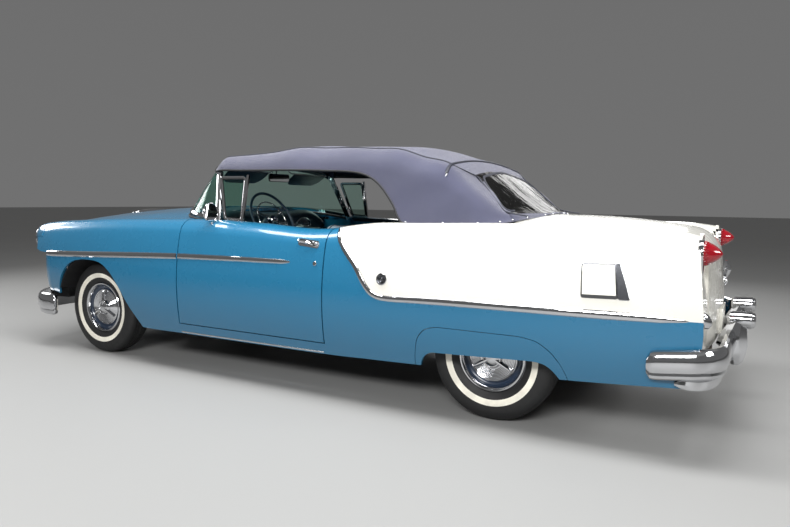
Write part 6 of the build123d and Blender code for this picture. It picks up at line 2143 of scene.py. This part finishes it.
def build_floor_covers():
    """Carpet over the floor, its tunnel and the toe board, and the pedals."""
    half, lift = 740, 4
    ys = [*np.linspace(-half, -146, 14), -138, -132, -126, -60, 0, 60, 126, 132, 138,
          *np.linspace(146, half, 14)]
    rows = []
    toe = [(-786, FLOOR_TOP), (-600, FLOOR_TOP), (-300, FLOOR_TOP), (0, FLOOR_TOP), (400, FLOOR_TOP),
           (800, FLOOR_TOP), (980, FLOOR_TOP + 2),
           (1010, 402), (1050, 520), (1084, 616)]
    for x, z in toe:
        line = []
        for y in ys:
            tunnel = 482 if x < 1040 else z
            top = z
            if abs(y) <= 126:
                top = max(z, tunnel)
            elif abs(y) <= 132:
                top = max(z, tunnel - 8)
            line.append((x - (lift if z > FLOOR_TOP + 30 else 0), y, top + lift))
        rows.append(line)
    carpet = shell("carpet", rows, 3, CARPET, (0, 0, 1))
    attach(carpet, "car", "fabric")
    pedals = []
    for y, width, height, z in ((470, 60, 46, 470), (330, 82, 50, 476)):
        pedals.append(loft_block("pedal",
                                 [[(972 - d + k * 0.16 * height, y + a, z + k * height / 2) for a, k in
                      rounded([(-width / 2, -1), (width / 2, -1), (width / 2, 1), (-width / 2, 1)], 0.3)]
                      for d in (0, 12)], SEAL))
        pedals.append(tube("pedal_arm", [(966, y, z), (1010, y, z + 90), (1046, y, z + 200)], 7, STEEL, 8))
    outline = rounded([(-24, 0), (24, 0), (20, 190), (-20, 190)], 10)
    throttle = loft_block("throttle", [[(1004 - d, 218 + a, 366 + b) for a, b in outline] for d in (0, 9)],
                          SEAL)
    for vertex in throttle.data.vertices:
        vertex.co.x += (vertex.co.z - 0.366) * 0.30
    pedals.append(throttle)
    attach(join(pedals, "pedals"), "car", "steel")


def build_overhead():
    """Sun visors, inside mirror and the lined header over the windshield."""
    pieces = []
    place = np.array([690.0, 8, 1338])
    for side in (LEFT, RIGHT):
        rows = []
        outline = rounded([(-215, 0), (215, 0), (215, 62), (160, 132), (-170, 132), (-215, 80)],
                          [8, 8, 60, 60, 70, 60], steps=6)
        lean = np.array([0.80, 0, -0.60])
        for depth in (-6, -3, 3, 6):
            shrink = 0.965 if abs(depth) == 6 else 1.0
            rows.append([np.array([668.0, side * (372 + u * shrink), 1372])
                         + lean * (66 + (w - 66) * shrink)
                         + np.array([0.60, 0, 0.80]) * depth for u, w in outline])
        pieces.append(loft_block("visor", rows, DARK_VINYL, sharp_angle=50))
        rod_y = side * 120
        pieces.append(tube("visor_rod", [(668, rod_y, 1374), (668, side * 600, 1374)], 4, CHROME, 8))
        bracket = [(668, rod_y, 1374), (690, rod_y - side * 10, 1388), (706, rod_y - side * 14, 1404)]
        pieces.append(tube("visor_bracket", bracket, 4, CHROME, 8))
    attach(join(pieces, "sun_visors"), "car", "dark_trim")
    face = rounded([(-125, -30), (125, -30), (125, 30), (-125, 30)], 22, steps=5)
    case = [[place + np.array([d, u * share, w * share - d * 0.2]) for u, w in face]
            for d, share in ((0, 1.0), (6, 1.0), (16, 0.9), (24, 0.6))]
    glass = [[place + np.array([d, u * 0.95, w * 0.9]) for u, w in face] for d in (-1.2, 0.2)]
    stalk = tube("stalk", smooth_path([(706, 4, 1344), (724, 2, 1372), (728, 0, 1404)], 8), 6, CHROME)
    mirror = [loft_block("mirror_case", case, PIPING), loft_block("mirror_pane", glass, MIRROR), stalk]
    attach(join(mirror, "inside_mirror"), "car", "dark_trim")
    header = [[(x, y, z + rise) for x, y, z in glass_line(level, -14)[6:-6]]
              for level, rise in ((0.90, 0), (0.94, 4), (0.985, 8))]
    attach(shell("header_trim", header, 4, DARK_VINYL, (-1, 0, 0)), "car", "dark_trim")


def build_vent_windows():
    """The small framed windows at the front of the door glass."""
    slope = (730 - 798) / (1325 - 1010)

    def lean(x, z, out=0.0):
        return x, 798 + (z - 1010) * slope + out, z

    inner = [(379, 1032), (391, 1315), (606, 1315), (524, 1037)]
    ring = rounded(inner, [26, 26, 20, 30], steps=5)
    line = [lean(x, z) for x, z in smooth_path(ring, 12, closed=True)]
    profile = [(-9, -6), (-10, 0), (-7, 7), (0, 9), (7, 6), (8, 0), (7, -6)]
    frame_ring = sweep("vent_frame", line, profile, CHROME, up=(0, 1, 0.2), closed=True)
    bar = [lean(374, z) for z in (1000, 1120, 1240, 1330)]
    profile = [(-8, -9), (-9, 6), (-4, 11), (5, 11), (9, 6), (8, -9)]
    foot = sweep("vent_bar", bar, profile, CHROME, up=(0, 1, 0), sharp_angle=30)
    ring = rounded([(389, 1042), (400, 1306), (596, 1306), (516, 1047)], 18, steps=4)
    line = [lean(x, z) for x, z in smooth_path(ring, 12, closed=True)]
    square = [(-4, -4), (-4, 4), (4, 4), (4, -4)]
    seal = sweep("vent_seal", line, square, SEAL, up=(0, 1, 0.2), closed=True)
    latch = lathe("vent_latch", [(0, 0), (0, 9), (10, 8), (14, 0)], lean(560, 1096, -8), (0, -1, 0), CHROME,
                  20, closed=False)
    both_sides(join([frame_ring, foot, seal, latch], "vent_frame"), "vent_frame", "door_SIDE", "chrome",
               ("vent_window_SIDE",))
    outline = rounded([(386, 1039), (397, 1309), (599, 1309), (519, 1044)], 18, steps=4)
    sheet = loft_block("vent_pane", [[lean(x, z, d) for x, z in outline] for d in (-2.2, 2.2)], GLASS,
                       sharp_angle=30)
    both_sides(sheet, "vent_pane", "door_SIDE", "glass", ("vent_window_SIDE",))


# Everything is put together here. The CAD nodes that stay get a material for their slot
SLOT_LOOKS = {
    "blue_paint": BLUE, "white_paint": WHITE, "chrome": CHROME, "black_paint": BLACK_PAINT,
    "fabric": CANVAS,
    "clear_vinyl": VINYL_WINDOW, "glass": GLASS, "lens": CLEAR_LENS, "red_lens": RED_LENS,
    "seat_trim": SILVER_VINYL, "dark_trim": DARK_VINYL, "tyre": TYRE_RUBBER, "wheel": CHROME,
    "steel": STEEL,
}


def dress_nodes():
    """Gives each CAD node the material of its slot."""
    slots = {row["node"]: row["material_slot"] for row in frame["record"]["subparts"]}
    special = {"exhaust": PIPE_STEEL, "engine": IRON, "fuel_tank": PIPE_STEEL, "floor_pan": BLACK_PAINT}
    for name, item in frame["nodes"].items():
        look = special.get(name, SLOT_LOOKS[slots[name]])
        if not item.material_slots:
            item.data.materials.append(look)
        for holder in item.material_slots:
            holder.material = look


def build_body():
    """The painted panels, in the order of the car from nose to tail."""
    fender = join([make_front_fender(), loft_block("pod", fender_nose(), BLUE), nose_corner()], "fender")
    both_sides(fender, "front_fender_skin", "car", "blue_paint", ("front_fender_SIDE",))
    both_sides(make_door(), "door_skin", "door_SIDE", "blue_paint", ("door_SIDE",))
    both_sides(make_sill(), "sill_skin", "car", "blue_paint", ("sills",))
    both_sides(make_skirt(), "skirt_skin", "car", "blue_paint", ("fender_skirts",))
    white_area = [tuple(p) for p in quarter_line()]
    white_area += [(-2600, 661), (-2600, 1200), (-420, 1200), (-420, 1030)]
    whole = make_quarter_shell()
    upper = copy_to(whole, "quarter_upper")
    cut(upper, [side_cutter(white_area)], "INTERSECT")
    upper.data.materials.clear()
    upper.data.materials.append(WHITE)
    cut(whole, [side_cutter(white_area)])
    both_sides(join([upper, quarter_tail(), cheek()], "quarter"), "quarter_upper", "car", "white_paint",
               ("quarter_panel_SIDE",))
    both_sides(whole, "quarter_lower", "car", "blue_paint", ("quarter_panel_SIDE",))
    attach(make_hood(), "hood", "blue_paint", "hood")
    attach(crowned("cowl_skin", CROWN_ROWS["cowl"], 798, 1131, -4, BLUE, thickness=6), "car", "blue_paint")
    attach(crowned("deck_skin", CROWN_ROWS["shelf"], -1596, -1400, 0.3, WHITE), "car", "white_paint",
           "deck_panel")
    attach(make_lid(), "trunk_lid", "white_paint", "trunk_lid")
    attach(make_tail_panel(), "car", "white_paint", "tail_panel")
    attach(make_nose_panel(), "car", "blue_paint", "nose_panel")


def build_wheels():
    """Four tyres and wheel covers on their turning bodies."""
    for side, side_name in SIDE_NAMES.items():
        for end, x, track in (("front", FRONT_AXLE_X, FRONT_TRACK), ("rear", REAR_AXLE_X, REAR_TRACK)):
            centre = (x, side * track / 2, TYRE_RADIUS)
            body = f"wheel_{end}_{side_name}"
            tyre = make_tyre(centre, side)
            tyre.name = f"tyre_skin_{end}_{side_name}"
            attach(tyre, body, "tyre", f"tyre_{end}_{side_name}")
            cover = make_wheel(centre, side)
            cover.name = f"wheel_cover_{end}_{side_name}"
            attach(cover, body, "wheel", f"wheel_{end}_{side_name}")


dress_nodes()
build_body()
build_wheels()
build_mouldings()
build_side_trim()
build_mirror()
build_tail_lamps()
build_headlamps()
build_front_end()
build_bumpers()
build_ornaments()
build_canopy()
build_top_frame()
build_rear_window()
build_windshield()
build_vent_windows()
build_seats()
build_dashboard()
build_dash_top()
build_steering()
build_door_trim()
build_cabin_sides()
build_floor_covers()
build_overhead()


# Floor, light and camera
LIGHTS = [
    # name, place, aim, size in metres, power in watts
    ("overhead", (-0.2, 1.2, 4.6), (0, 0, 0), (6.5, 1.4), 360),
    ("left_key", (-2.2, 6.8, 3.6), (-0.6, 0, 0.7), (4.0, 1.0), 430),
    ("right_fill", (0.5, -6.0, 3.0), (0, 0, 0.6), (5.0, 1.6), 110),
    ("rear", (-7.0, 1.0, 2.8), (-1.5, 0, 0.8), (3.0, 1.2), 150),
    ("front", (7.0, 0.5, 2.8), (1.5, 0, 0.8), (3.0, 1.2), 110),
]


def make_stage():
    """The pale floor, the studio's grey surround and its lights."""
    floor = make_object("floor",
                        [(-60000, -60000, 0), (60000, -60000, 0), (60000, 60000, 0), (-60000, 60000, 0)],
                        [(0, 1, 2, 3)])
    look = Look("pale_floor", (0.32, 0.32, 0.315), 0.6)
    look.feed("Roughness", look.noise(0.8, 3.0) * 0.15 + 0.55)
    floor.data.materials.append(look.material)
    world = bpy.data.worlds.new("studio")
    bpy.context.scene.world = world
    world.use_nodes = True
    tree = world.node_tree
    coordinates = tree.nodes.new("ShaderNodeTexCoord")
    split = tree.nodes.new("ShaderNodeSeparateXYZ")
    ramp = tree.nodes.new("ShaderNodeValToRGB")
    tree.links.new(coordinates.outputs["Generated"], split.inputs[0])
    tree.links.new(split.outputs[2], ramp.inputs[0])
    stops = [(0.0, (0.22, 0.22, 0.22)), (0.46, (0.20, 0.20, 0.20)), (0.53, (0.42, 0.42, 0.41)),
             (0.66, (0.30, 0.30, 0.30)),
             (1.0, (0.10, 0.10, 0.105))]
    ramp.color_ramp.elements[0].position, ramp.color_ramp.elements[1].position = stops[0][0], stops[-1][0]
    ramp.color_ramp.elements[0].color = (*stops[0][1], 1)
    ramp.color_ramp.elements[1].color = (*stops[-1][1], 1)
    for position, color in stops[1:-1]:
        ramp.color_ramp.elements.new(position).color = (*color, 1)
    tree.links.new(ramp.outputs[0], tree.nodes["Background"].inputs[0])
    tree.nodes["Background"].inputs[1].default_value = 0.75
    for name, place, aim, size, power in LIGHTS:
        lamp = bpy.data.lights.new(name, "AREA")
        lamp.shape, lamp.size, lamp.size_y, lamp.energy = "RECTANGLE", size[0], size[1], power
        holder = bpy.data.objects.new(name, lamp)
        holder.location = place
        holder.rotation_euler = (Vector(aim) - Vector(place)).to_track_quat("-Z", "Y").to_euler()
        bpy.context.scene.collection.objects.link(holder)


CAMERA_PLACE = (-2.570, 4.109, 1.182)
CAMERA_TURN = (208.54, 5.54, 0.68)
FOCAL_PIXELS, PHOTO_WIDTH = 659.9, 790


def make_camera():
    """The camera as it stood for the photo, from its azimuth, elevation and roll in degrees."""
    azimuth, elevation, roll = (radians(angle) for angle in CAMERA_TURN)
    back = Vector((sin(azimuth) * cos(elevation), -cos(azimuth) * cos(elevation), sin(elevation)))
    right = (-back).cross(Vector((0, 0, 1))).normalized()
    up = right.cross(-back)
    turned_right, turned_up = right * cos(roll) + up * sin(roll), up * cos(roll) - right * sin(roll)
    camera = bpy.data.cameras.new("camera")
    camera.sensor_width, camera.lens = 36.0, 36.0 * FOCAL_PIXELS / PHOTO_WIDTH
    camera.clip_start, camera.clip_end = 0.05, 200.0
    holder = bpy.data.objects.new("camera", camera)
    axes = Matrix((turned_right, turned_up, back)).transposed().to_4x4()
    holder.matrix_world = Matrix.Translation(CAMERA_PLACE) @ axes
    bpy.context.scene.collection.objects.link(holder)
    bpy.context.scene.camera = holder


make_stage()
make_camera()
bpy.context.scene.view_settings.view_transform = "Standard"
